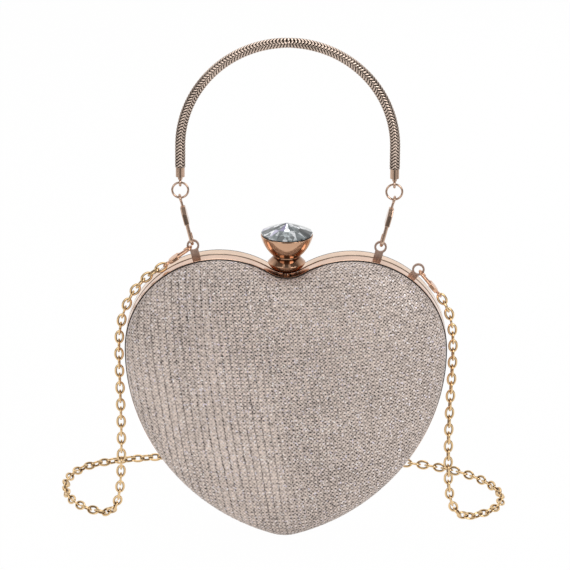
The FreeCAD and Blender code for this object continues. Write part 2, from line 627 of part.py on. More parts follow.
class Clasp:
    """Trigger clasp in its own axes: x across, y through its thickness, z from the hook to the eye.

    Its origin is the centre of the hook's round bend, about which a lug in the hook turns.
    """

    def __init__(self, bend, bar, leg, body_length, post, thickness, eye_wire):
        self.bend = bend
        self.bar = bar
        self.leg = leg
        self.body_top = leg + body_length
        self.post_top = self.body_top + post
        self.thickness = thickness
        self.eye_wire = eye_wire
        self.eye_radius = 1.7
        self.tip = 2.0
        self.trigger_thickness = thickness * 0.45
        self.arm = 0.65
        self.pin_radius = 0.45
        self.pin = Vector(bend - 0.4, 0, leg + 2.4)
        self.eye = Vector(0, 0, self.post_top + self.eye_radius)

    def seat_in(self, wire):
        """Height in the eye at which a ring of that wire pulls on it."""
        return self.eye.z + self.eye_radius - self.eye_wire - wire - LINK_SEAT

    def hook(self):
        """Round bar: the spine, the bend and the tip with its rounded end."""
        bend = disc(Vector(-self.bend, 0, 0), self.bar).revolve(Vector(0, 0, 0), Vector(0, -1, 0), 180)
        spine = rod(Vector(-self.bend, 0, 0), Vector(-self.bend, 0, self.leg + self.bar), self.bar)
        tip_end = Vector(self.bend, 0, self.tip)
        tip = rod(Vector(self.bend, 0, 0), tip_end, self.bar)
        return [bend, spine, tip, Part.makeSphere(self.bar, tip_end)]

    def block(self):
        """Flat body that narrows to the eye, with rounded edges."""
        wide = self.bend + self.bar
        narrow = self.eye_radius
        middle = self.leg + (self.body_top - self.leg) * 0.62
        outline = [(-wide, self.leg), (wide, self.leg), (wide, middle), (narrow, self.body_top),
                   (-narrow, self.body_top), (-wide, middle)]
        points = [Vector(x, -self.thickness / 2, z) for x, z in outline]
        solid = Part.Face(Part.makePolygon(points + points[:1])).extrude(Vector(0, self.thickness, 0))
        return solid.makeFillet(self.thickness * 0.2, solid.Edges)

    def trigger_room(self):
        """Slot in the body in which the trigger swings."""
        half = self.trigger_thickness / 2 + RUNNING_GAP / 2
        left = -self.bend + self.bar + self.arm
        heights = (self.leg - 1, self.pin.z + self.arm * 2.5)
        return box((left, self.bend + self.bar + 1), (-half, half), heights)

    def pin_hole(self):
        """Hole for the trigger's rivet pin."""
        return self.pin_rod(self.pin_radius + PIN_FIT, self.thickness)

    def pin_rod(self, radius, length):
        """Round bar on the trigger's axis."""
        return rod(self.pin - Vector(0, length / 2, 0), self.pin + Vector(0, length / 2, 0), radius)

    def body(self):
        """Hook, body, post and eye as one casting."""
        eye = Part.makeTorus(self.eye_radius, self.eye_wire, self.eye, Vector(0, 1, 0))
        post = rod(Vector(0, 0, self.body_top - self.eye_wire), Vector(0, 0, self.post_top), self.eye_wire)
        block = self.block().cut([self.trigger_room(), self.pin_hole()])
        return fused(block, post, eye, *self.hook())

    def trigger(self):
        """Gate from the pin to the inside of the hook's tip, with a thumb ridge on its outer side."""
        half = self.trigger_thickness / 2
        end = Vector(self.bend - self.bar - self.arm - GATE_GAP, 0, self.tip - 0.4)
        gate = self.bar_between(self.pin, end, half)
        middle = self.pin + (end - self.pin) * 0.42
        ridge = self.bar_between(middle, middle + Vector(self.bar * 2, 0, self.arm), half)
        boss = self.pin_rod(self.arm * 1.5, 2 * half)
        return fused(gate, ridge, boss).cut(self.pin_hole())

    def bar_between(self, start, end, half):
        """Flat bar with round ends, as thick as the trigger."""
        across = (end - start).cross(Vector(0, 1, 0)).normalize() * self.arm
        corners = [start + across, end + across, end - across, start - across]
        lower = Vector(0, -half, 0)
        outline = Part.makePolygon([corner + lower for corner in corners + corners[:1]])
        flat = Part.Face(outline).extrude(Vector(0, 2 * half, 0))
        rounds = [Part.makeCylinder(self.arm, 2 * half, p + lower, Vector(0, 1, 0)) for p in (start, end)]
        return fused(flat, *rounds)

    def pieces(self, placement):
        """Body, trigger and pin, put in place."""
        made = (self.body(), self.trigger(), self.pin_rod(self.pin_radius, self.thickness))
        for piece in made:
            piece.Placement = placement
        return made


HANDLE_CLASP = Clasp(bend=3.0, bar=0.95, leg=9.0, body_length=10.4, post=3.2, thickness=2.8, eye_wire=0.7)
CHAIN_CLASP = Clasp(bend=2.4, bar=0.75, leg=6.4, body_length=6.2, post=0.4, thickness=2.3, eye_wire=0.6)


def hook_centre(clasp, eye, pull):
    """Where a clasp's bend is when its hook is pulled out against a lug's eye."""
    return eye + pull * (LUG_EYE_INNER - clasp.bar - HOOK_SEAT + clasp.bend)


def clasp_placement(clasp, eye, pull):
    """Place of a clasp whose hook is in a lug's eye and whose own eye is pulled that way."""
    thickness_way = pull.cross(Vector(0, 1, 0))
    turn = Rotation(Vector(0, 1, 0), thickness_way, pull, "ZXY")
    return Placement(hook_centre(clasp, eye, pull), turn)


def lug_eye(angle_deg, reach):
    """Centre of a right lug's eye."""
    x, z, outward = HEART.on_lobe(angle_deg, reach)
    return Vector(x, -LUG_PLANE, z), outward


HANDLE_EYE, HANDLE_PULL = lug_eye(HANDLE_LUG_ANGLE, HANDLE_LUG_REACH)
CHAIN_EYE, CHAIN_OUTWARD = lug_eye(CHAIN_LUG_ANGLE, CHAIN_LUG_REACH)
HANDLE_HOOK = hook_centre(HANDLE_CLASP, HANDLE_EYE, HANDLE_PULL)
RING_LOW = HANDLE_HOOK + HANDLE_PULL * HANDLE_CLASP.seat_in(RING_WIRE)
RING_CENTRE = RING_LOW + Vector(0, 0, RING_RADIUS)
RING_TOP = RING_CENTRE + Vector(0, 0, RING_RADIUS)
LOOP_CENTRE = RING_TOP + Vector(0, 0, LOOP_RADIUS - LOOP_WIRE - RING_WIRE - LINK_SEAT)
CAP_BOTTOM = LOOP_CENTRE.z + LOOP_RADIUS + CAP_NECK
ARCH_RADIUS = RING_CENTRE.x
ARCH_HEIGHT = CAP_BOTTOM + CAP_HEIGHT + HANDLE_LEG
GRIP = Vector(0, -LUG_PLANE, ARCH_HEIGHT + ARCH_RADIUS - HANDLE_TUBE_RADIUS)


def handle_ring():
    """Plain ring between the right cap's loop and the right clasp's eye."""
    return Part.makeTorus(RING_RADIUS, RING_WIRE, RING_CENTRE, Vector(0, 1, 0))


def handle_cap():
    """Right end cap of the handle, with a neck and a loop under it."""
    foot = Vector(LOOP_CENTRE.x, LOOP_CENTRE.y, CAP_BOTTOM)
    cup = Part.makeCylinder(CAP_RADIUS, CAP_HEIGHT, foot)
    cup = cup.cut(Part.makeCylinder(CAP_CORE_RADIUS + CAP_FIT, CAP_HEIGHT, foot + Vector(0, 0, CAP_FLOOR)))
    neck = rod(LOOP_CENTRE + Vector(0, 0, LOOP_RADIUS), foot + Vector(0, 0, CAP_FLOOR / 2), CAP_NECK_RADIUS)
    loop = Part.makeTorus(LOOP_RADIUS, LOOP_WIRE, LOOP_CENTRE, Vector(1, 0, 0))
    return fused(cup, neck, loop)


def handle_tube():
    """The handle's stiff chain as a round bar: two legs and an arch, its ends drawn down for the caps."""
    core_foot = Vector(ARCH_RADIUS, -LUG_PLANE, CAP_BOTTOM + CAP_FLOOR + CAP_FIT)
    foot = Vector(ARCH_RADIUS, -LUG_PLANE, CAP_BOTTOM + CAP_HEIGHT + CAP_FIT)
    shoulder = Vector(ARCH_RADIUS, -LUG_PLANE, ARCH_HEIGHT)
    leg = fused(rod(core_foot, shoulder, CAP_CORE_RADIUS), rod(foot, shoulder, HANDLE_TUBE_RADIUS))
    centre = Vector(0, -LUG_PLANE, ARCH_HEIGHT)
    arch = disc(shoulder, HANDLE_TUBE_RADIUS).revolve(centre, Vector(0, -1, 0), 180)
    return fused(leg, arch, to_left(leg))


def strap_link():
    """One oval link about the origin, long way along z, flat in the plane of x and z."""
    wire = LINK_WIRE / 2
    side = LINK_WIDTH / 2 - wire
    half = LINK_INNER / 2 + LINK_WIRE - LINK_WIDTH / 2
    end = disc(Vector(side, 0, half), wire).revolve(Vector(0, 0, half), Vector(0, -1, 0), 180)
    other_end = end.mirror(Vector(0, 0, 0), Vector(0, 0, 1))
    bars = [rod(Vector(x, 0, -half), Vector(x, 0, half), wire) for x in (-side, side)]
    return fused(end, other_end, *bars)


def strap_curve(start, end):
    """Smooth curve of the strap: the hand-picked points between its two ends, as control points."""
    lying = [(x, y, FLOOR_HEIGHT + STRAP_LIE) for x, y in STRAP_ON_FLOOR]
    points = [start] + [Vector(*p) for p in STRAP_LEFT_DROP + tuple(lying) + STRAP_RIGHT_DROP] + [end]
    degree = 2
    inner = len(points) - degree - 1
    knots = [float(k) for k in range(inner + 2)]
    counts = [degree + 1] + [1] * inner + [degree + 1]
    curve = Part.BSplineCurve()
    curve.buildFromPolesMultsKnots(points, counts, knots, False, degree)
    return curve


def strap_places(curve):
    """Even places of the links along the curve, with the way each one points."""
    length = curve.length()
    count = math.ceil((length - 2 * LINK_REACH) / LINK_PITCH) + 1
    pitch = (length - 2 * LINK_REACH) / (count - 1)
    places = []
    for k in range(count):
        middle = LINK_REACH + pitch * k
        ends = [curve.value(curve.parameterAtDistance(min(max(middle + shift, 0.0), length)))
                for shift in (-pitch / 2, pitch / 2)]
        places.append(((ends[0] + ends[1]) / 2, (ends[1] - ends[0]).normalize()))
    return places


def strap_faces(places):
    """Way that every link's flat side faces before the quarter turns, carried along without twist.

    What is left to turn at the far end is shared out among the links.
    """
    face = Vector(0, 1, 0)
    faces = []
    for _, along in places:
        face = (face - along * face.dot(along)).normalize()
        faces.append(face)
    along = places[-1][1]
    wanted = Vector(0, 1, 0) if len(places) % 2 else along.cross(Vector(0, 1, 0))
    wanted = (wanted - along * wanted.dot(along)).normalize()
    left_over = math.degrees(math.atan2(along.dot(faces[-1].cross(wanted)), faces[-1].dot(wanted)))
    left_over = (left_over + 90.0) % 180.0 - 90.0
    share = left_over / (len(places) - 1)
    return [Rotation(place[1], share * k).multVec(face) for k, (place, face) in enumerate(zip(places, faces))]


def strap_links(curve):
    """All links of the strap in order, every second one a quarter turn round."""
    link = strap_link()
    places = strap_places(curve)
    links = []
    for k, ((middle, along), face) in enumerate(zip(places, strap_faces(places))):
        if k % 2:
            face = along.cross(face)
        copy = link.copy()
        copy.Placement = Placement(middle, Rotation(face.cross(along) * -1, face, along, "ZYX"))
        links.append(copy)
    return links


def least_radius(curve, steps=400):
    """Tightest bend of a curve."""
    first, last = curve.FirstParameter, curve.LastParameter
    bends = [curve.curvature(first + (last - first) * (k + 0.5) / steps) for k in range(steps)]
    return 1.0 / max(bends)


def strap_pull(angle_deg):
    """Direction in the heart's plane in which the strap pulls a clasp."""
    return Vector(math.cos(math.radians(angle_deg)), 0, math.sin(math.radians(angle_deg)))


def strap_end(eye, pull):
    """Where the first or last link's wire sits in a strap clasp's eye."""
    return hook_centre(CHAIN_CLASP, eye, pull) + pull * CHAIN_CLASP.seat_in(LINK_WIRE / 2)


def strap_nodes():
    """The strap's links in three stretches: the left hanging one, the lying one and the right hanging one."""
    left_eye = Vector(-HANDLE_EYE.x, HANDLE_EYE.y, HANDLE_EYE.z)
    start = strap_end(left_eye, strap_pull(LEFT_CLASP_ANGLE))
    end = strap_end(CHAIN_EYE, strap_pull(RIGHT_CLASP_ANGLE))
    curve = strap_curve(start, end)
    links = strap_links(curve)
    low = FLOOR_HEIGHT + STRAP_LIE + LINK_PITCH
    lying = [k for k, link in enumerate(links) if link.BoundBox.Center.z < low]
    print("strap length %.1f mm, %d links, least bend radius %.1f mm" % (
        curve.length(), len(links), least_radius(curve)))
    return {
        "strap_left_drop": Part.makeCompound(links[:lying[0]]),
        "strap_floor_run": Part.makeCompound(links[lying[0]:lying[-1] + 1]),
        "strap_right_drop": Part.makeCompound(links[lying[-1] + 1:]),
    }


def shell_nodes():
    """Both halves' soft and hard layers and their frames."""
    cover, shell, lining = front_layers()
    feet = [lug(HANDLE_LUG_ANGLE, HANDLE_LUG_REACH, LUG_FIT), lug(CHAIN_LUG_ANGLE, CHAIN_LUG_REACH, LUG_FIT)]
    feet.append(to_left(feet[0]))
    return {
        "front_cover": cover, "front_shell": shell, "front_lining": lining, "front_frame": front_frame(feet),
        "back_cover": to_back(cover), "back_shell": to_back(shell), "back_lining": to_back(lining),
        "back_frame": back_frame(),
    }


def hinge_nodes():
    """Tip hinge: two leaves, their rivets and the pin."""
    head = SPOT_FACE - LEAF_THICKNESS
    return {
        "hinge_leaf_front": hinge_leaf(-1, 0),
        "hinge_leaf_back": hinge_leaf(1, 1),
        "hinge_pin": hinge_pin(),
        "hinge_rivets_front": rivet_pair(HINGE_RIVET_X, -HINGE_RIVET_Y, head, hinge_rivet_grip(), rivet),
        "hinge_rivets_back": rivet_pair(HINGE_RIVET_X, HINGE_RIVET_Y, head, hinge_rivet_grip(), rivet),
    }


def latch_nodes():
    """Latch and knob."""
    head = LOCK_TOP - LOCK_BASE_THICKNESS
    return {
        "lock_housing": lock_housing(),
        "lock_rivets": rivet_pair(LOCK_RIVET_X, -LOCK_RIVET_Y, head, lock_rivet_grip(), rivet),
        "pivot_pin": pivot_pin(),
        "latch_lever": latch_lever(),
        "latch_spring": latch_spring(),
        "strike_plate": strike_plate(),
        "strike_rivets": rivet_pair(LOCK_RIVET_X, LOCK_RIVET_Y, head, lock_rivet_grip(), rivet),
        "knob_bead": knob_bead(),
        "knob_cup": knob_cup(),
        "knob_foil": knob_foil(),
        "knob_stone": knob_stone(),
    }


def handle_nodes():
    """Handle, caps, rings, clasps and the two lugs that carry it."""
    nodes = {"handle_snake_chain": handle_tube()}
    body, trigger, pin = HANDLE_CLASP.pieces(clasp_placement(HANDLE_CLASP, HANDLE_EYE, HANDLE_PULL))
    right = {
        "handle_cap": handle_cap(), "handle_ring": handle_ring(), "handle_clasp": body,
        "handle_clasp_trigger": trigger, "handle_clasp_pin": pin,
        "handle_lug": lug(HANDLE_LUG_ANGLE, HANDLE_LUG_REACH),
    }
    for name, shape in right.items():
        nodes[name + "_right"] = shape
        nodes[name + "_left"] = to_left(shape)
    return nodes


def strap_clasp_nodes():
    """The strap's two clasps and the right one's own lug."""
    left_eye = Vector(-HANDLE_EYE.x, HANDLE_EYE.y, HANDLE_EYE.z)
    ends = {"left": (left_eye, LEFT_CLASP_ANGLE), "right": (CHAIN_EYE, RIGHT_CLASP_ANGLE)}
    nodes = {"strap_lug_right": lug(CHAIN_LUG_ANGLE, CHAIN_LUG_REACH)}
    for side, (eye, angle) in ends.items():
        made = CHAIN_CLASP.pieces(clasp_placement(CHAIN_CLASP, eye, strap_pull(angle)))
        for name, shape in zip(("strap_clasp_", "strap_clasp_trigger_", "strap_clasp_pin_"), made):
            nodes[name + side] = shape
    return nodes


def main():
    """Build every node and write it about the grip."""
    os.makedirs("parts", exist_ok=True)
    for group in (shell_nodes, hinge_nodes, latch_nodes, handle_nodes, strap_clasp_nodes, strap_nodes):
        for name, shape in group().items():
            placed = shape.copy()
            placed.translate(GRIP * -1)
            placed.exportStep("parts/%s.step" % name)


main()
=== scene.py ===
"""Looks of a heart shaped evening purse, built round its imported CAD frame.

Sizes are in millimetres of the bench frame that the purse was drawn in: x to the right, y to the back, z up,
the tip of the heart at the origin and the parting plane of its two halves at y = 0. Bench.row turns them into
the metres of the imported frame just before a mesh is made.
"""
import json
import logging
import math
from dataclasses import dataclass, field
from enum import Enum
from functools import partial
from typing import Any, Optional, Sequence

import bpy
import numpy as np
from mathutils import Matrix, Quaternion, Vector

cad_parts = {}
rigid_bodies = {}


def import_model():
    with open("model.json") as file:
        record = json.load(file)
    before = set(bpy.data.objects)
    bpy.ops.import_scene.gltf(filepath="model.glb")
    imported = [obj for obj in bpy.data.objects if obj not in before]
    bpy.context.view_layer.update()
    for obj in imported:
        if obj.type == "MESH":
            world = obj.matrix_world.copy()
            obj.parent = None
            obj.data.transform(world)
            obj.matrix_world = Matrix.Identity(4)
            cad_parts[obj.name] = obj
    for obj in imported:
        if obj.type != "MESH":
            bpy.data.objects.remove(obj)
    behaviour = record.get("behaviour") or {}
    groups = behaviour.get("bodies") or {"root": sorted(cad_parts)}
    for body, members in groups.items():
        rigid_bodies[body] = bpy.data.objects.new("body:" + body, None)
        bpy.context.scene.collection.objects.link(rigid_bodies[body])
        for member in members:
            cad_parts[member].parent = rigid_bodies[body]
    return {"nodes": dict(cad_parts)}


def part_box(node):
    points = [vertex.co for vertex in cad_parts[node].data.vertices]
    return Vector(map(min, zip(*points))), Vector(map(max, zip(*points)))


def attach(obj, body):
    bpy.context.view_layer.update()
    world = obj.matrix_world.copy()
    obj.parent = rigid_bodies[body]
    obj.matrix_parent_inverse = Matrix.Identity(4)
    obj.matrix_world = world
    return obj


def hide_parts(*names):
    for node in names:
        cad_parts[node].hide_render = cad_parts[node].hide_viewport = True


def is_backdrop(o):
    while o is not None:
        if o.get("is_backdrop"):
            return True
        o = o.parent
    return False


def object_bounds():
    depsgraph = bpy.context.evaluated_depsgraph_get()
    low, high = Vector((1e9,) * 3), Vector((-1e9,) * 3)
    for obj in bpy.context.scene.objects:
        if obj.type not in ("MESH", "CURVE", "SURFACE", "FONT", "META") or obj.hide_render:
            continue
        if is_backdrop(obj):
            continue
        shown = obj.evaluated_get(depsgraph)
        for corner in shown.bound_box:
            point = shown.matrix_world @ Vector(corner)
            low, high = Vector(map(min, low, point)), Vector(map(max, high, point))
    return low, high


LOG = logging.getLogger("purse")
MM = 0.001
FULL_TURN = 2.0 * math.pi
TINY = 1e-9
# Mesh attributes that materials read
PAINTED_SHADE, KNIT, FACET = "hollow", "knit", "facet"

Faces = Sequence[Sequence[int]]
Pair = tuple[float, float]
Triple = tuple[float, float, float]


class Half(Enum):
    """The purse's two halves, each with the side of the parting plane that it is on."""

    FRONT = -1.0
    BACK = 1.0

    @property
    def word(self) -> str:
        """The half's name as the CAD nodes have it."""
        return self.name.lower()

    @property
    def body(self) -> str:
        """The CAD body that the half's pieces ride on."""
        return f"{self.word}_half"


def linear(colour: str) -> tuple[float, float, float, float]:
    """Turn an sRGB hex colour into Blender's linear one.

    Args:
        colour: Six hex digits, with or without a leading #.

    Returns:
        Red, green, blue and an alpha of 1.
    """
    digits = colour.lstrip("#")
    parts = [int(digits[k:k + 2], 16) / 255.0 for k in (0, 2, 4)]
    r, g, b = (c / 12.92 if c <= 0.04045 else ((c + 0.055) / 1.055) ** 2.4 for c in parts)
    return (r, g, b, 1.0)


def per_mm(size_mm: float) -> float:
    """Texture scale in 1/m that repeats about every size_mm millimetres."""
    return 1.0 / (size_mm * MM)


def plug(tree: bpy.types.NodeTree, node: bpy.types.Node, inputs: dict[Any, Any]) -> None:
    """Set or link a node's inputs.

    Args:
        tree: Node tree that has the node.
        node: Node that gets the inputs.
        inputs: Input name or number to a constant, to an output socket, or to a node, which stands for its
            first output in use.
    """
    for key, value in inputs.items():
        if isinstance(value, bpy.types.Node):
            value = next(socket for socket in value.outputs if socket.enabled)
        if isinstance(value, bpy.types.NodeSocket):
            tree.links.new(value, node.inputs[key])
        else:
            node.inputs[key].default_value = value


def add_node(tree: bpy.types.NodeTree, kind: str, inputs: Optional[dict[Any, Any]] = None,
             **settings: Any) -> bpy.types.Node:
    """Add a node with its settings, and set or link its inputs.

    Args:
        tree: Node tree that gets the node.
        kind: Type name of the node, without its ShaderNode start.
        inputs: What plug takes.
        **settings: Attributes of the node.

    Returns:
        The new node.
    """
    node = tree.nodes.new("ShaderNode" + kind)
    for name, value in settings.items():
        setattr(node, name, value)
    plug(tree, node, inputs or {})
    return node


def new_material(name: str) -> tuple[bpy.types.Material, bpy.types.NodeTree, bpy.types.Node]:
    """Make a node material.

    Args:
        name: Name of the real material.

    Returns:
        The material, its node tree and its Principled shader.
    """
    material = bpy.data.materials.new(name)
    material.use_nodes = True
    tree = material.node_tree
    return material, tree, tree.nodes["Principled BSDF"]


def put(name: str, data: Any) -> bpy.types.Object:
    """Put a new object into the scene.

    Args:
        name: Name of the object.
        data: Its mesh, lamp or camera.

    Returns:
        The object.
    """
    made = bpy.data.objects.new(name, data)
    bpy.context.scene.collection.objects.link(made)
    return made


def mark(mesh: bpy.types.Mesh, name: str, values: np.ndarray, domain: str = "POINT") -> None:
    """Store values on a mesh for its material to read.

    Args:
        mesh: Mesh that gets them.
        name: Name of the attribute.
        values: A number or a row of three for each point or face.
        domain: POINT or FACE.
    """
    kind, part = ("FLOAT", "value") if values.ndim == 1 else ("FLOAT_VECTOR", "vector")
    mesh.attributes.new(name, kind, domain).data.foreach_set(part, values.astype(np.float32).ravel())


def tube_faces(rings: int, around: int, closed: bool = False) -> np.ndarray:
    """Faces of a tube whose rings of corners follow each other.

    Args:
        rings: Number of rings.
        around: Corners of a ring.
        closed: Whether the last ring joins the first.

    Returns:
        Four corner numbers for each face.
    """
    ring, side = np.meshgrid(np.arange(rings if closed else rings - 1), np.arange(around), indexing="ij")
    low, high = ring * around, (ring + 1) % rings * around
    after = (side + 1) % around
    return np.stack([low + side, low + after, high + after, high + side], axis=-1).reshape(-1, 4)


@dataclass(frozen=True)
class PlatedMetal:
    """Metal that is cast or drawn, polished and then plated, with a faint unevenness of the plating.

    The grain of the polish is drawn coarser than real, so that it shows.
    """

    name: str
    colour: str
    deep: str
    roughness: float
    grain_mm: float = 0.6
    cloud_mm: float = 9.0
    seam_mm: float = 0.0
    seam_place_mm: float = 2.8
    gloss_spread: Pair = (0.75, 1.3)

    def seam(self, tree: bpy.types.NodeTree, coords: bpy.types.NodeSocket) -> bpy.types.Node:
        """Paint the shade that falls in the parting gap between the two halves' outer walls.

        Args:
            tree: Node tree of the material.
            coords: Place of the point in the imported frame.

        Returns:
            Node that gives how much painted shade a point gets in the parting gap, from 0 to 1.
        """
        node = partial(add_node, tree)
        axes = node("SeparateXYZ", {0: coords})
        off = node("Math", {0: axes.outputs["Y"], 1: self.seam_place_mm * MM}, operation="SUBTRACT")
        away = node("Math", {0: off}, operation="ABSOLUTE")
        near = node("MapRange", {"Value": away, "From Min": 0.5 * self.seam_mm * MM,
                                 "From Max": self.seam_mm * MM, "To Min": 1.0, "To Max": 0.0},
                    interpolation_type="SMOOTHSTEP")
        facing = node("SeparateXYZ", {0: node("TexCoord").outputs["Normal"]})
        across = node("Math", {0: facing.outputs["Y"]}, operation="ABSOLUTE")
        wall = node("MapRange", {"Value": across, "From Min": 0.55, "From Max": 0.85,
                                 "To Min": 1.0, "To Max": 0.0})
        return node("Math", {0: near, 1: wall}, operation="MULTIPLY")

    def build(self) -> bpy.types.Material:
        """Make the material.

        Returns:
            The material; its deep colour is the plating's own unevenness, and also painted shade where a mesh
            marks it and in the parting gap.
        """
        material, tree, shader = new_material(self.name)
        node = partial(add_node, tree)
        coords = node("TexCoord").outputs["Object"]
        cloud, grain = (node("TexNoise", {"Vector": coords, "Scale": per_mm(size), "Detail": detail})
                        for size, detail in ((self.cloud_mm, 3.0), (self.grain_mm, 2.0)))
        # Painted shade that a mesh marks, where light reaches it less
        hollow = node("Attribute", attribute_name=PAINTED_SHADE).outputs["Fac"]
        uneven = node("MapRange", {"Value": cloud, "From Min": 0.35, "From Max": 0.75, "To Max": 0.16})
        depth = node("Math", {0: uneven, 1: hollow}, operation="ADD", use_clamp=True)
        metal: Any = 1.0
        # Painted shade in the parting gap between the halves: the deep colour, with no metal
        if self.seam_mm:
            seam = self.seam(tree, coords)
            depth = node("Math", {0: depth, 1: seam}, operation="ADD", use_clamp=True)
            metal = node("Math", {0: 1.0, 1: seam}, operation="SUBTRACT")
        tone = node("Mix", {"Factor": depth, 6: linear(self.colour), 7: linear(self.deep)}, data_type="RGBA")
        smooth, dull = (self.roughness * share for share in self.gloss_spread)
        gloss = node("MapRange", {"Value": grain, "From Min": 0.3, "From Max": 0.7,
                                  "To Min": smooth, "To Max": dull})
        bump = node("Bump", {"Height": grain, "Strength": 0.06, "Distance": 0.03 * MM})
        plug(tree, shader, {"Base Color": tone, "Metallic": metal, "Roughness": gloss, "Normal": bump})
        return material


# Zinc alloy, die cast, polished and plated rose gold: a bright pale pink metal with soft reflections
# Its deep colour is also painted shade in the parting gap between the halves
FRAME_PLATE = PlatedMetal("rose gold plated zinc alloy", "#EBCDB4", "#24130C", 0.17, seam_mm=1.3)
# The front half's frame: a copy of the same plating, a little pinker and darker, which is painted shade on
# the band that faces forward
SHADED_FRONT_PLATE = PlatedMetal("rose gold plated zinc alloy front", "#E2BFA8", "#24130C", 0.17, seam_mm=1.3)
# The same plating over turned brass: deeper and redder, because the turned shape reflects itself
KNOB_PLATE = PlatedMetal("rose gold plated turned brass", "#CCA386", "#5A3A28", 0.08)
# Aluminium wire, bent, closed and anodised pale gold: yellower than the frame
STRAP_PLATE = PlatedMetal("gold anodised aluminium wire", "#E9C898", "#3A210F", 0.1)
# Brass strip wound into a round snake chain and plated: bright scales, with painted shade in the dark lines
# between them
SNAKE_PLATE = PlatedMetal("rose gold plated snake chain", "#E8D2C2", "#1E1510", 0.2)
# Die cast and plated small hardware, the clasps, rings and caps of the handle: pinkish and bright
HARDWARE_PLATE = PlatedMetal("rose gold plated hardware", "#CBAD98", "#4A2E20", 0.12)
# The strap's clasps, die cast and plated with more copper: redder than the handle's
CLASP_PLATE = PlatedMetal("rose gold plated strap clasps", "#DDB193", "#4A2817", 0.12)
# Brass strip, stamped, tumbled and plated: duller than the cast pieces
LUG_PLATE = PlatedMetal("rose gold plated brass strip", "#C2A595", "#5A3B2C", 0.36)
# Cold rolled steel of the hinge and the latch: grey, with a fine drawn grain
INNER_STEEL = PlatedMetal("nickel plated steel", "#C9C6C1", "#77736E", 0.3, grain_mm=0.3)
# Silvered backing of the stone: a mirror that greys a little in places
STONE_FOIL = PlatedMetal("silvered backing foil", "#C8CBD2", "#4A4C55", 0.08, grain_mm=1.2, cloud_mm=4.0)


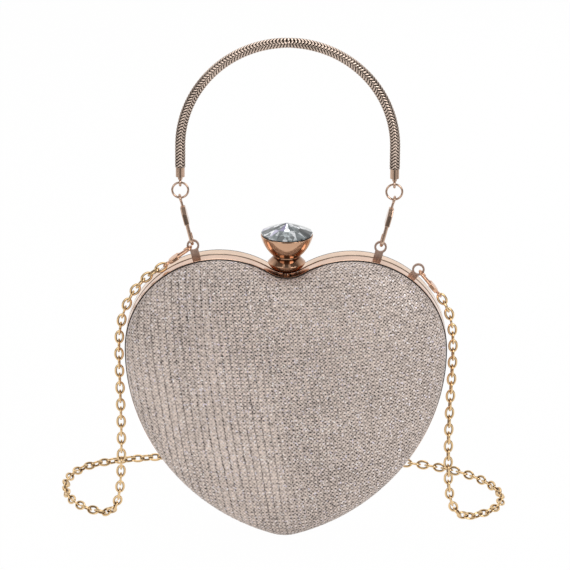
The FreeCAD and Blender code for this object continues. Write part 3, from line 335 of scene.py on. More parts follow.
@dataclass(frozen=True)
class GlitterKnit:
    """Ribbed warp knit of metallised thread: dark holes in rows between loops with a painted highlight,
    painted shade in the furrows between the ribs, and glitter flecks with a painted glint.

    The mesh gives each point its place in the knit, counted in ribs across and in courses along, and how
    open the furrows between the ribs are there. Holes, yarn and flecks are drawn coarser than real, so that
    they show.
    """

    name: str = "metallised glitter knit"
    thread: str = "#F5E3D8"
    loop: str = "#FDF2EC"
    hole: str = "#2C211E"
    fleck: str = "#FFFBF6"
    cool_fleck: str = "#D9CFE2"
    wales_per_rib: float = 3.8
    row_depth: float = 0.13
    open_row_depth: float = 0.039
    furrow_shade: float = 0.36
    yarn_shade: float = 0.16
    # Ribs and courses that a hole strays, and how often in a rib the straying and the slackness change
    stray: Triple = (0.32, 0.44, 0.0)
    stray_scale: float = 1.7
    slack_scale: float = 2.2
    fleck_chance: Pair = (0.93, 0.98)
    fleck_mm: float = 0.7
    yarn_mm: float = 0.45
    tuft_mm: float = 1.5
    patch_mm: float = 40.0

    def holes(self, tree: bpy.types.NodeTree) -> tuple[bpy.types.Node, bpy.types.Node, bpy.types.Node]:
        """Draw the knit's holes, the painted highlight on its loops, and the furrows between its ribs.

        Args:
            tree: Node tree of the material.

        Returns:
            Nodes that give how deep in a hole a point is, how much painted highlight it gets on the loops,
            and how deep in a furrow it is.
        """
        node = partial(add_node, tree)
        place = node("Attribute", attribute_name=KNIT, attribute_type="GEOMETRY").outputs["Vector"]
        wander = node("TexNoise", {"Vector": place, "Scale": self.stray_scale, "Detail": 1.0})
        half_back = tuple(-0.5 * way for way in self.stray)
        shift = node("VectorMath", {0: wander.outputs["Color"], 1: self.stray, 2: half_back},
                     operation="MULTIPLY_ADD")
        moved = node("VectorMath", {0: place, 1: shift}, operation="ADD")
        axes = node("SeparateXYZ", {0: moved}).outputs
        waves = []
        for axis, turns in (("X", math.pi * self.wales_per_rib), ("Y", FULL_TURN), ("X", FULL_TURN)):
            angle = node("Math", {0: axes[axis], 1: turns}, operation="MULTIPLY")
            waves.append(node("Math", {0: angle}, operation="COSINE"))
        wale, course, rib = waves
        lattice = node("Math", {0: wale, 1: course}, operation="MULTIPLY")
        slack = node("TexNoise", {"Vector": place, "Scale": self.slack_scale, "Detail": 2.0})
        size = node("MapRange", {"Value": slack, "From Min": 0.38, "From Max": 0.62,
                                 "To Min": 0.4, "To Max": 1.1})
        dip = node("MapRange", {"Value": lattice, "From Min": 0.04, "From Max": 0.5},
                   interpolation_type="SMOOTHSTEP")
        hole = node("Math", {0: dip, 1: size}, operation="MULTIPLY")
        line = node("MapRange", {"Value": rib, "From Min": 0.6, "From Max": 1.0},
                    interpolation_type="SMOOTHSTEP")
        openness = node("SeparateXYZ", {0: place}).outputs["Z"]
        row = node("MapRange", {"Value": openness, "From Min": 0.45, "From Max": 0.95,
                                "To Min": self.row_depth, "To Max": self.open_row_depth})
        rows = node("Math", {0: course, 1: row, 2: row}, operation="MULTIPLY_ADD")
        furrow = node("Math", {0: line, 1: openness}, operation="MULTIPLY")
        closed = node("MapRange", {"Value": openness, "From Min": 0.3, "From Max": 0.9,
                                   "To Min": 0.75, "To Max": 0.25})
        dot = node("Math", {0: hole, 1: closed, 2: rows}, operation="MULTIPLY_ADD")
        # Painted highlight on the crests of the loops between the holes
        crest = node("MapRange", {"Value": lattice, "From Min": -0.15, "From Max": -0.8},
                     interpolation_type="SMOOTHSTEP")
        catch = node("MapRange", {"Value": slack.outputs["Color"], "From Min": 0.4, "From Max": 0.62})
        loop = node("Math", {0: crest, 1: catch}, operation="MULTIPLY")
        return dot, loop, furrow

    def build(self) -> bpy.types.Material:
        """Make the material.

        Returns:
            The material.
        """
        material, tree, shader = new_material(self.name)
        node = partial(add_node, tree)
        coords = node("TexCoord").outputs["Object"]
        hole, loop, furrow = self.holes(tree)
        sizes = ((self.yarn_mm, 2.0), (self.patch_mm, 2.0), (self.tuft_mm, 1.0))
        yarn, patch, tuft = (node("TexNoise", {"Vector": coords, "Scale": per_mm(size), "Detail": detail})
                             for size, detail in sizes)
        base = node("MapRange", {"Value": patch, "From Min": 0.3, "From Max": 0.7,
                                 "To Min": 0.02, "To Max": 0.12})
        rough = node("MapRange", {"Value": tuft, "From Min": 0.4, "From Max": 0.7, "To Max": 0.32})
        even = node("Math", {0: yarn, 1: self.yarn_shade, 2: base}, operation="MULTIPLY_ADD")
        dull = node("Math", {0: rough, 1: even}, operation="ADD")
        # Painted shade in the furrows between the ribs: the holes there get darker, and so does the furrow
        dark = node("MapRange", {"Value": furrow, "To Min": 0.92, "To Max": 1.0})
        in_hole = node("Math", {0: hole, 1: dark, 2: dull}, operation="MULTIPLY_ADD")
        shade = node("Math", {0: furrow, 1: self.furrow_shade, 2: in_hole}, operation="MULTIPLY_ADD",
                     use_clamp=True)
        # The loops are lightened by their painted highlight
        yarns = node("Mix", {"Factor": loop, 6: linear(self.thread), 7: linear(self.loop)}, data_type="RGBA")
        cloth = node("Mix", {"Factor": shade, 6: yarns, 7: linear(self.hole)}, data_type="RGBA")
        # Glitter flecks: real metallised flecks, whose near white colour is a painted glint
        cells = node("TexVoronoi", {"Vector": coords, "Scale": per_mm(self.fleck_mm)})
        chance = node("SeparateColor", {0: cells.outputs["Color"]}).outputs
        rare, sure = self.fleck_chance
        lit = node("MapRange", {"Value": chance[0], "From Min": rare, "From Max": sure})
        tint = node("Mix", {"Factor": chance[1], 6: linear(self.fleck), 7: linear(self.cool_fleck)},
                    data_type="RGBA")
        colour = node("Mix", {"Factor": lit, 6: cloth, 7: tint}, data_type="RGBA")
        metal = node("MapRange", {"Value": hole, "To Min": 0.2, "To Max": 0.0})
        gloss = node("MapRange", {"Value": lit, "To Min": 0.5, "To Max": 0.25})
        depth = node("Math", {0: hole, 1: -1.0, 2: yarn}, operation="MULTIPLY_ADD")
        bump = node("Bump", {"Height": depth, "Strength": 0.6, "Distance": 0.2 * MM})
        plug(tree, shader, {"Base Color": colour, "Metallic": metal, "Roughness": gloss, "Normal": bump,
                            "Sheen Weight": 0.1})
        return material


@dataclass(frozen=True)
class SatinLining:
    """Polyester satin glued over the board: a smooth face with a fine twill line and a soft sheen.

    The twill is drawn coarser than real, so that it shows.
    """

    name: str = "polyester satin"
    face: str = "#D8C6B8"
    fold: str = "#A48E7E"
    twill_mm: float = 0.8
    cloud_mm: float = 14.0
    cloud_shade: float = 0.3
    waves_per_scale: float = 20.0 / math.pi

    def build(self) -> bpy.types.Material:
        """Make the material.

        Returns:
            The material; where a mesh marks painted shade, in the troughs of its wrinkles, it is darker.
        """
        material, tree, shader = new_material(self.name)
        node = partial(add_node, tree)
        coords = node("TexCoord").outputs["Object"]
        twill = node("TexWave", {"Vector": coords, "Scale": per_mm(self.twill_mm) / self.waves_per_scale,
                                 "Distortion": 1.0, "Detail": 1.0}, bands_direction="DIAGONAL").outputs["Fac"]
        cloud = node("TexNoise", {"Vector": coords, "Scale": per_mm(self.cloud_mm), "Detail": 3.0})
        hollow = node("Attribute", attribute_name=PAINTED_SHADE).outputs["Fac"]
        fade = node("Math", {0: cloud, 1: self.cloud_shade, 2: hollow}, operation="MULTIPLY_ADD",
                    use_clamp=True)
        tone = node("Mix", {"Factor": fade, 6: linear(self.face), 7: linear(self.fold)}, data_type="RGBA")
        gloss = node("MapRange", {"Value": twill, "To Min": 0.36, "To Max": 0.5})
        bump = node("Bump", {"Height": twill, "Strength": 0.15, "Distance": 0.05 * MM})
        plug(tree, shader, {"Base Color": tone, "Roughness": gloss, "Normal": bump, "Sheen Weight": 0.3})
        return material


@dataclass(frozen=True)
class GreyBoard:
    """Pressed fibre board of the shells: matt, warm grey and slightly fibrous."""

    name: str = "pressed fibre board"
    pulp: str = "#8F8A83"
    fibre: str = "#6F6A63"
    fibre_mm: float = 1.6

    def build(self) -> bpy.types.Material:
        """Make the material.

        Returns:
            The material.
        """
        material, tree, shader = new_material(self.name)
        node = partial(add_node, tree)
        coords = node("TexCoord").outputs["Object"]
        fibres = node("TexNoise", {"Vector": coords, "Scale": per_mm(self.fibre_mm), "Detail": 5.0})
        tone = node("Mix", {"Factor": fibres, 6: linear(self.pulp), 7: linear(self.fibre)}, data_type="RGBA")
        bump = node("Bump", {"Height": fibres, "Strength": 0.4, "Distance": 0.1 * MM})
        plug(tree, shader, {"Base Color": tone, "Normal": bump, "Roughness": 0.85})
        return material


# A dark matt strip along the cover's edge: painted shadow of the gap between cover and frame, nearly black
GAP_SHADOW_STRIP = GreyBoard("dark rubber cement", "#191210", "#0C0807", 2.5)


@dataclass(frozen=True)
class CutCrystal:
    """Cut and polished crystal glass with a silvered back: each facet's colour is a painted reflection of
    another part of the room.
    """

    name: str = "foil backed cut crystal"
    dark: str = "#23282A"
    middle: str = "#7F8688"
    light: str = "#FBFCFF"
    tint: str = "#A79DC6"
    streak_mm: float = 1.6
    streak_share: float = 0.5
    glint_mm: float = 2.6
    glint_share: float = 0.65
    middle_level: float = 0.55

    def build(self) -> bpy.types.Material:
        """Make the material.

        Returns:
            The material; the mesh gives each facet the tone of its painted reflection.
        """
        material, tree, shader = new_material(self.name)
        node = partial(add_node, tree)
        coords = node("TexCoord").outputs["Object"]
        facet = node("Attribute", attribute_name=FACET, attribute_type="GEOMETRY").outputs["Vector"]
        parts = node("SeparateXYZ", {0: facet}).outputs
        # Painted reflections: streaks and glints over each facet's tone
        streak = node("TexNoise", {"Vector": coords, "Scale": per_mm(self.streak_mm), "Detail": 2.0})
        glint = node("TexVoronoi", {"Vector": coords, "Scale": per_mm(self.glint_mm)})
        back = node("SeparateColor", {0: glint.outputs["Color"]}).outputs[0]
        mixed = node("Math", {0: back, 1: self.glint_share, 2: parts["X"]}, operation="MULTIPLY_ADD")
        tone = node("Math", {0: streak, 1: self.streak_share, 2: mixed}, operation="MULTIPLY_ADD")
        level = node("MapRange", {"Value": tone, "From Min": 0.6, "From Max": 1.75})
        ramp = node("ValToRGB", {"Fac": level})
        stops = ramp.color_ramp.elements
        stops[0].color = linear(self.dark)
        stops[1].color = linear(self.light)
        stops.new(self.middle_level).color = linear(self.middle)
        colour = node("Mix", {"Factor": parts["Y"], 6: ramp, 7: linear(self.tint)}, data_type="RGBA")
        gloss = node("MapRange", {"Value": streak, "To Min": 0.03, "To Max": 0.12})
        plug(tree, shader, {"Base Color": colour, "Roughness": gloss, "Metallic": 0.65, "Coat Weight": 0.6,
                            "Coat Roughness": 0.02})
        return material


@dataclass
class Bench:
    """The frame that the purse was drawn in, and the finishes that its pieces share."""

    hinge_drop: float = 0.65
    origin: Vector = field(init=False)
    finishes: dict[str, bpy.types.Material] = field(init=False, default_factory=dict)

    def __post_init__(self) -> None:
        """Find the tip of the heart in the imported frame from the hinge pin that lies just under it."""
        low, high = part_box("hinge_pin")
        self.origin = (low + high) / 2 + Vector((0.0, 0.0, self.hinge_drop * MM))

    def row(self, points: np.ndarray) -> np.ndarray:
        """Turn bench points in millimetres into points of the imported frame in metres."""
        return np.asarray(points, float) * MM + np.array(self.origin)

    def height(self, corner: Vector) -> float:
        """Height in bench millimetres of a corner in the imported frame."""
        return (corner.z - self.origin.z) / MM

    def finish(self, kind: Any) -> bpy.types.Material:
        """Find a finish's material, made the first time that it is asked for.

        Args:
            kind: The finish.

        Returns:
            Its material.
        """
        if kind.name not in self.finishes:
            self.finishes[kind.name] = kind.build()
        return self.finishes[kind.name]

    def piece(self, name: str, points: np.ndarray, faces: Faces, kind: Any, body: str, slot: str,
              hollow: Optional[np.ndarray] = None) -> bpy.types.Object:
        """Make a smooth mesh piece that rides on a body.

        Args:
            name: Name of the piece.
            points: Corners in bench millimetres.
            faces: Corner numbers of each face.
            kind: Finish of the piece.
            body: CAD body that it rides on.
            slot: Material slot of the record; not used.
            hollow: How much shade is painted on each corner, from 0 to 1.

        Returns:
            The new object.
        """
        mesh = bpy.data.meshes.new(name)
        mesh.from_pydata(self.row(points).tolist(), [], [tuple(f) for f in faces])
        mesh.shade_smooth()
        if hollow is not None:
            mark(mesh, PAINTED_SHADE, hollow)
        mesh.materials.append(self.finish(kind))
        made = put(name, mesh)
        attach(made, body)
        LOG.info("%s: %d points, %d faces, on %s", name, len(mesh.vertices), len(mesh.polygons), body)
        return made


@dataclass(frozen=True)
class Arc:
    """One arc of the heart's right half, gone round clockwise."""

    centre: Pair
    radius: float
    start: float
    end: float
    hollow: bool = False

    @property
    def length(self) -> float:
        """Length of the arc."""
        return self.radius * abs(self.end - self.start)


@dataclass(frozen=True)
class HeartOutline:
    """Outline of the purse in the plane of x and z, made of arcs that meet tangent to each other."""

    width: float = 180.0
    height: float = 165.0
    lobe: float = 53.0
    side: float = 115.0
    tip: float = 25.0
    valley: float = 17.4

    def arcs(self) -> list[Arc]:
        """Find the right half's arcs.

        Returns:
            The arcs from the valley down to the tip.
        """
        lobe = np.array((self.width / 2 - self.lobe, self.height - self.lobe))
        tip = np.array((0.0, self.tip))
        valley = np.array((0.0, lobe[1] + math.sqrt((self.lobe + self.valley) ** 2 - lobe[0] ** 2)))
        near, far = self.side - self.lobe, self.side - self.tip
        gap = tip - lobe
        span = float(np.hypot(*gap))
        along = (near ** 2 - far ** 2 + span ** 2) / (2 * span)
        off = math.sqrt(near ** 2 - along ** 2)
        side = lobe + gap / span * along + np.array((gap[1], -gap[0])) / span * off
        ways = (valley - lobe, lobe - side, tip - side)
        at_lobe, at_side, at_tip = (math.atan2(*way[::-1]) for way in ways)
        return [
            Arc(tuple(valley), self.valley, -math.pi / 2, at_lobe - math.pi, hollow=True),
            Arc(tuple(lobe), self.lobe, at_lobe, at_side),
            Arc(tuple(side), self.side, at_side, at_tip),
            Arc(tuple(tip), self.tip, at_tip, -math.pi / 2),
        ]

    def points(self, share: np.ndarray, inset: float) -> np.ndarray:
        """Points of the outline drawn in by an inset.

        Args:
            share: Share of the way round from the valley, clockwise, from 0 to 1.
            inset: Distance inside the outline.

        Returns:
            One row of x and z for each share.
        """
        arcs = self.arcs()
        half = sum(arc.length for arc in arcs)
        share = np.mod(share, 1.0)
        left = share > 0.5
        way = np.where(left, 1.0 - share, share) * 2.0 * half
        found = np.zeros((len(share), 2))
        begin = 0.0
        for arc in arcs:
            inside = (way >= begin - TINY) & (way <= begin + arc.length + TINY)
            angle = arc.start + (arc.end - arc.start) * (way[inside] - begin) / arc.length
            radius = arc.radius + inset if arc.hollow else arc.radius - inset
            found[inside, 0] = arc.centre[0] + radius * np.cos(angle)
            found[inside, 1] = arc.centre[1] + radius * np.sin(angle)
            begin += arc.length
        found[left, 0] *= -1.0
        return found


@dataclass(frozen=True)
class HeartGrid:
    """Square net of cells laid over the heart, with square rings that become rings of the heart."""

    cells: int

    def rings(self) -> tuple[np.ndarray, np.ndarray]:
        """Place of each corner of the net.

        Returns:
            Share of the way round from the valley, and share of the way out from the middle.
        """
        steps = np.linspace(-1.0, 1.0, self.cells + 1)
        u, v = (a.ravel() for a in np.meshgrid(steps, steps))
        out = np.maximum(np.abs(u), np.abs(v))
        safe = np.where(out > 0.0, out, 1.0)
        across, up = u / safe, v / safe
        top, right, bottom = up >= 1.0 - TINY, across >= 1.0 - TINY, up <= -1.0 + TINY
        # Each side of the square is a quarter of the way round
        share = np.select([top, right, bottom], [across / 8, 0.25 - up / 8, 0.5 - across / 8], 0.75 + up / 8)
        return np.mod(share, 1.0), out

    def faces(self, flip: bool) -> np.ndarray:
        """Corner numbers of the net's cells.

        Args:
            flip: Whether each cell is gone round the other way.

        Returns:
            Four corner numbers for each cell.
        """
        row = self.cells + 1
        first = (np.arange(self.cells)[:, None] * row + np.arange(self.cells)[None, :]).ravel()
        quads = np.stack([first, first + 1, first + row + 1, first + row], axis=1)
        return quads[:, ::-1] if flip else quads


@dataclass(frozen=True)
class KnitLay:
    """How the knit lies over the dome.

    It was pulled down and in towards the tip of the heart, so its ribs lean that way, and its courses sag a
    little and lie further apart low down. It was stretched less low on the left, so there its furrows stay
    open, and there the knit's material paints the most shade into them.
    """

    height: float
    rib_pitch: float = 4.3
    course_pitch: Pair = (2.6, 1.82)
    least_pitch: float = 0.5
    course_slant: float = 0.032
    course_sag: float = 0.0002
    course_sway: float = 0.04
    # Ribs of sway, and the millimetres along and across that one radian of it takes
    sways: tuple[Triple, ...] = ((0.10, 27.0, 40.0), (0.05, 11.0, -19.0))
    lean: float = 0.12
    low_lean: float = 0.03
    lean_from: float = 105.0
    slack_side: Pair = (52.0, -18.0)
    least_pull: float = 0.08
    open_heights: Pair = (60.0, 140.0)
    open_shift: float = 38.0
    open_power: float = 1.3
    least_open: float = 0.08
    patchy: float = 0.2
    patch_waves: tuple[Pair, Pair] = ((17.0, 7.0), (29.0, -13.0))
    fade_heights: Pair = (80.0, 130.0)
    high_open: float = 0.7

    def places(self, flat: np.ndarray) -> np.ndarray:
        """Place of each point in the knit.

        Args:
            flat: Its x and z with the dome laid flat.

        Returns:
            Ribs across, courses along, and how open the furrows are, from 0 to 1.
        """
        x, z = flat.T
        low, high = self.course_pitch
        closing = (low - high) / self.height
        courses = -np.log(np.maximum(low - closing * z, self.least_pitch)) / closing
        courses = courses - self.course_slant * x - self.course_sag * x ** 2
        taut, slack = self.slack_side
        pulled = np.clip((taut - x) / (taut - slack), self.least_pull, 1.0)
        drop = self.lean_from - z
        lean = self.lean * drop + self.low_lean * pulled * np.clip(drop, 0.0, None)
        wander = sum(size * np.sin(z / along + x / across) for size, along, across in self.sways)
        wander = wander + self.course_sway * np.sin(FULL_TURN * courses)
        edge = np.interp(z, self.open_heights, (taut, taut - self.open_shift))
        open_side = np.clip((edge - x) / (taut - slack), 0.0, 1.0) ** self.open_power
        patch = np.prod([np.sin(z / along + x / across) for along, across in self.patch_waves], axis=0)
        uneven = 1.0 - self.patchy + self.patchy * patch
        furrows = (self.least_open + (1.0 - self.least_open) * open_side) * uneven
        furrows = furrows * np.interp(z, self.fade_heights, (1.0, self.high_open))
        return np.stack([(x - lean) / self.rib_pitch + wander, courses, furrows], axis=1)


@dataclass
class ShellHalf:
    """One half's soft layers: the knit glued over its dome, a dark strip of painted shadow at its edge and
    the satin inside it.
    """

    bench: Bench
    half: Half
    outline: HeartOutline = HeartOutline()
    middle_height: float = 92.0
    # How often the mean way from the middle to the edge goes into the heart's width
    reaches_across: float = 2.2
    arc_steps: int = 400
    frame_depth: float = 8.0
    tuck_share: float = 0.97
    bulge: float = 28.0
    cover_cells: int = 300
    cover_flat: Pair = (0.2, 0.185)
    cover_rim: float = 8.7
    cover_inset: float = 0.6
    tuck_inset: float = 1.3
    tuck_depth: float = 0.6
    furrow_depth: float = 0.16
    furrow_edge: float = 0.55
    furrow_power: float = 1.5
    rib_crown: float = 0.12
    rib_fade: float = 0.03
    seal_steps: int = 420
    seal_sides: int = 8
    seal_inset: float = 0.6
    seal_reach: float = 0.54
    seal_lift: float = 0.35
    seal_height: float = 0.45
    seal_heights: Pair = (55.0, 110.0)
    seal_thin: float = 0.3
    lining_cells: int = 112
    lining_flat: Pair = (0.19, 0.175)
    lining_inset: float = 4.3
    lining_bulge: float = 24.75
    lining_rim: float = 5.2
    lining_roll: float = 2.0
    wrinkles: Triple = (31.0, 5.0, 17.0)
    wrinkle_bend: float = 2.0
    wrinkle_phase: float = 1.3
    wrinkle_from: float = 0.62
    wrinkle_grow: float = 0.25
    wrinkle_fade: float = 0.04
    wrinkle_height: float = 0.22
    wrinkle_shade: float = 0.6
    sag_height: float = 0.12
    sag_lengths: Pair = (9.0, 14.0)
    sag_end: float = 0.9

    def dome(self, grid: HeartGrid, insets: Pair, rims: Pair,
             bulge: float) -> tuple[np.ndarray, np.ndarray, np.ndarray]:
        """Points of a domed layer whose edge rolls over and is tucked in.

        Args:
            grid: Net that is laid over the dome.
            insets: Distance inside the heart's outline at the rim and at the tucked edge.
            rims: Distance from the parting plane at the rim and at the tucked edge.
            bulge: Distance from the parting plane in the middle.

        Returns:
            The points, the share of the way out from the middle of each, and its x and z with the dome
            laid flat.
        """
        share, out = grid.rings()
        tuck = np.clip((out - self.tuck_share) / (1.0 - self.tuck_share), 0.0, 1.0)
        edge = self.outline.points(share, insets[0])
        edge = edge + (self.outline.points(share, insets[1]) - edge) * tuck[:, None]
        rise = bulge - rims[0]
        reach = self.outline.width / self.reaches_across
        angles = np.linspace(0.0, math.pi / 2, self.arc_steps)
        steps = np.hypot(np.diff(np.cos(angles)) * reach, np.diff(np.sin(angles)) * rise)
        way = np.concatenate([[0.0], np.cumsum(steps)])
        inward = np.clip(1.0 - out / self.tuck_share, 0.0, 1.0)
        angle = np.interp(inward * way[-1], way, angles)
        longer = way[-1] / reach * out / self.tuck_share
        middle = np.array((0.0, self.middle_height))
        flat = middle + (edge - middle) * longer[:, None]
        x, z = (middle + (edge - middle) * np.cos(angle)[:, None]).T
        y = rims[0] + rise * np.sin(angle) + (rims[1] - rims[0]) * tuck
        return np.stack([x, self.half.value * y, z], axis=1), out, flat

    def slopes(self, points: np.ndarray, faces: np.ndarray) -> np.ndarray:
        """Twice the area of each quad of a net, as a vector square to it."""
        corners = points[faces]
        return np.cross(corners[:, 2] - corners[:, 0], corners[:, 3] - corners[:, 1])

    def normals(self, points: np.ndarray, faces: np.ndarray) -> np.ndarray:
        """Smooth normals of a net of quads.

        Args:
            points: Its corners.
            faces: Corner numbers of each quad.

        Returns:
            One row for each corner.
        """
        slopes = self.slopes(points, faces)
        total = np.zeros_like(points)
        for k in range(4):
            np.add.at(total, faces[:, k], slopes)
        return total / np.linalg.norm(total, axis=1, keepdims=True)

    def sheet(self, layer: str) -> None:
        """Hide the CAD layer that a sheet stands for.

        Args:
            layer: CAD layer that it replaces.
        """
        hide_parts(f"{self.half.word}_{layer}")

    def cover(self) -> None:
        """Make the ribbed knit cover, rolled over the frame's lip."""
        grid = HeartGrid(self.cover_cells)
        points, out, flat = self.dome(grid, (self.cover_inset, self.tuck_inset),
                                      (self.cover_rim, self.frame_depth - self.tuck_depth), self.bulge)
        faces = grid.faces(self.half is Half.BACK)
        knit = KnitLay(self.outline.height).places(flat)
        wave = np.cos(FULL_TURN * knit[:, 0])
        furrow = np.clip((wave - self.furrow_edge) / (1.0 - self.furrow_edge), 0.0, 1.0) ** self.furrow_power
        crown = self.rib_crown * (1.0 - wave) / 2.0
        fade = np.clip((self.tuck_share - out) / self.rib_fade, 0.0, 1.0)
        lift = (crown - self.furrow_depth * furrow) * fade * knit[:, 2]
        points = points + self.normals(points, faces) * lift[:, None]
        made = self.bench.piece(f"{self.half.word}_knit_cover", points, faces, GlitterKnit(), self.half.body,
                                "glitter_knit")
        mark(made.data, KNIT, knit)
        self.sheet("cover")

    def edge_seal(self) -> None:
        """Make the dark strip that paints the shadow in the gap between the cover's edge and the frame's lip,
        thin round the tip.
        """
        share = np.arange(self.seal_steps) / self.seal_steps
        outer = self.outline.points(share, self.seal_inset)
        swell = np.interp(outer[:, 1], self.seal_heights, (self.seal_thin, 1.0))
        rings = []
        for angle in np.arange(self.seal_sides) / self.seal_sides * FULL_TURN:
            drawn_in = self.outline.points(share, self.seal_inset + self.seal_reach * math.cos(angle))
            edge = outer + (drawn_in - outer) * swell[:, None]
            lift = self.seal_lift + self.seal_height * math.sin(angle) * swell
            depth = self.half.value * (self.frame_depth + lift)
            rings.append(np.stack([edge[:, 0], depth, edge[:, 1]], axis=1))
        faces = tube_faces(self.seal_sides, self.seal_steps, closed=True)
        self.bench.piece(f"{self.half.word}_edge_cement", np.concatenate(rings), faces, GAP_SHADOW_STRIP,
                         self.half.body, "shell_board")

    def lining(self) -> None:
        """Make the satin lining, slack enough for shallow wrinkles near its edge."""
        grid = HeartGrid(self.lining_cells)
        points, out, _ = self.dome(grid, (self.lining_inset, self.lining_inset),
                                   (self.lining_rim + self.lining_roll, self.lining_rim), self.lining_bulge)
        faces = grid.faces(self.half is Half.FRONT)
        turn = grid.rings()[0] * FULL_TURN
        fine, bend, coarse = (count * turn for count in self.wrinkles)
        ripple = np.sin(fine + self.wrinkle_bend * np.sin(bend)) * np.sin(coarse + self.wrinkle_phase)
        near_edge = np.clip((out - self.wrinkle_from) / self.wrinkle_grow, 0.0, 1.0)
        near_edge = near_edge * np.clip((self.tuck_share - out) / self.wrinkle_fade, 0.0, 1.0)
        across, along = self.sag_lengths
        sag = self.sag_height * np.sin(points[:, 0] / across + points[:, 2] / along) * (out < self.sag_end)
        slack = ripple * near_edge * self.wrinkle_height + sag
        points = points + self.normals(points, faces) * slack[:, None]
        # Painted shade in the troughs of the wrinkles
        shade = np.clip(-ripple, 0.0, 1.0) * near_edge * self.wrinkle_shade
        made = self.bench.piece(f"{self.half.word}_satin_lining", points, faces, SatinLining(),
                                self.half.body, "lining_cloth", shade)
        self.sheet("lining")


@dataclass
class SnakeHandle:
    """Arched carrying handle: a stiff round snake chain of folded strip, cased by a cap at each end."""

    bench: Bench
    arch_radius: float = 59.131
    arch_height: float = 229.174
    plane: float = -2.8
    foot: float = 216.87
    radius: float = 2.9
    scale_pitch: float = 1.8
    waves: int = 4
    wave_reach: float = 0.85
    turnover: float = 6.0
    around: int = 48
    # Share of the pitch, share of the radius and painted shade along one scale, darkest in the gap between
    # scales
    profile: tuple[Triple, ...] = (
        (0.00, 0.86, 1.0), (0.13, 0.89, 1.0), (0.27, 0.965, 0.25), (0.5, 1.0, 0.0), (0.74, 0.97, 0.2),
        (0.88, 0.89, 1.0),
    )

    def centreline(self, way: np.ndarray) -> tuple[np.ndarray, np.ndarray]:
        """Follow the handle's middle line.

        Args:
            way: Lengths from the left foot.

        Returns:
            The point at each length, and the way out from the arch's middle there.
        """
        leg = self.arch_height - self.foot
        arch = math.pi * self.arch_radius
        angle = np.clip((way - leg) / self.arch_radius, 0.0, math.pi)
        below = np.where(way < leg, leg - way, np.maximum(way - leg - arch, 0.0))
        out = np.stack([-np.cos(angle), np.zeros_like(angle), np.sin(angle)], axis=-1)
        middle = out * self.arch_radius
        middle[..., 1] += self.plane
        middle[..., 2] += self.arch_height - below
        return middle, out

    def chain(self) -> None:
        """Make the chain: rings of scales whose edges zigzag round the bar, pointing up on both legs, with
        shade painted between the scales.
        """
        total = 2 * (self.arch_height - self.foot) + math.pi * self.arch_radius
        count = round(total / self.scale_pitch)
        pitch = total / count
        turn = np.arange(self.around) / self.around
        # A triangle wave from -1 to 1
        zigzag = (np.abs(((turn * self.waves) % 1.0) - 0.5) * 4.0 - 1.0) * self.wave_reach
        rings = [(k + at, size, deep) for k in range(-1, count + 1) for at, size, deep in self.profile]
        points, hollow = [], []
        for place, size, deep in rings:
            lean = math.tanh((total / 2 - place * pitch) / self.turnover)
            middle, out = self.centreline(np.clip(place * pitch + zigzag * lean, 0.0, total))
            side = np.cos(turn * FULL_TURN)[:, None] * out
            side = side + np.sin(turn * FULL_TURN)[:, None] * np.array((0.0, 1.0, 0.0))
            points.append(middle + side * self.radius * size)
            hollow.append(np.full(self.around, deep))
        faces = tube_faces(len(rings), self.around)[:, [0, 3, 2, 1]]
        made = self.bench.piece("handle_snake_scales", np.concatenate(points), faces, SNAKE_PLATE, "handle",
                                "handle_metal", np.concatenate(hollow))
        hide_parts("handle_snake_chain")


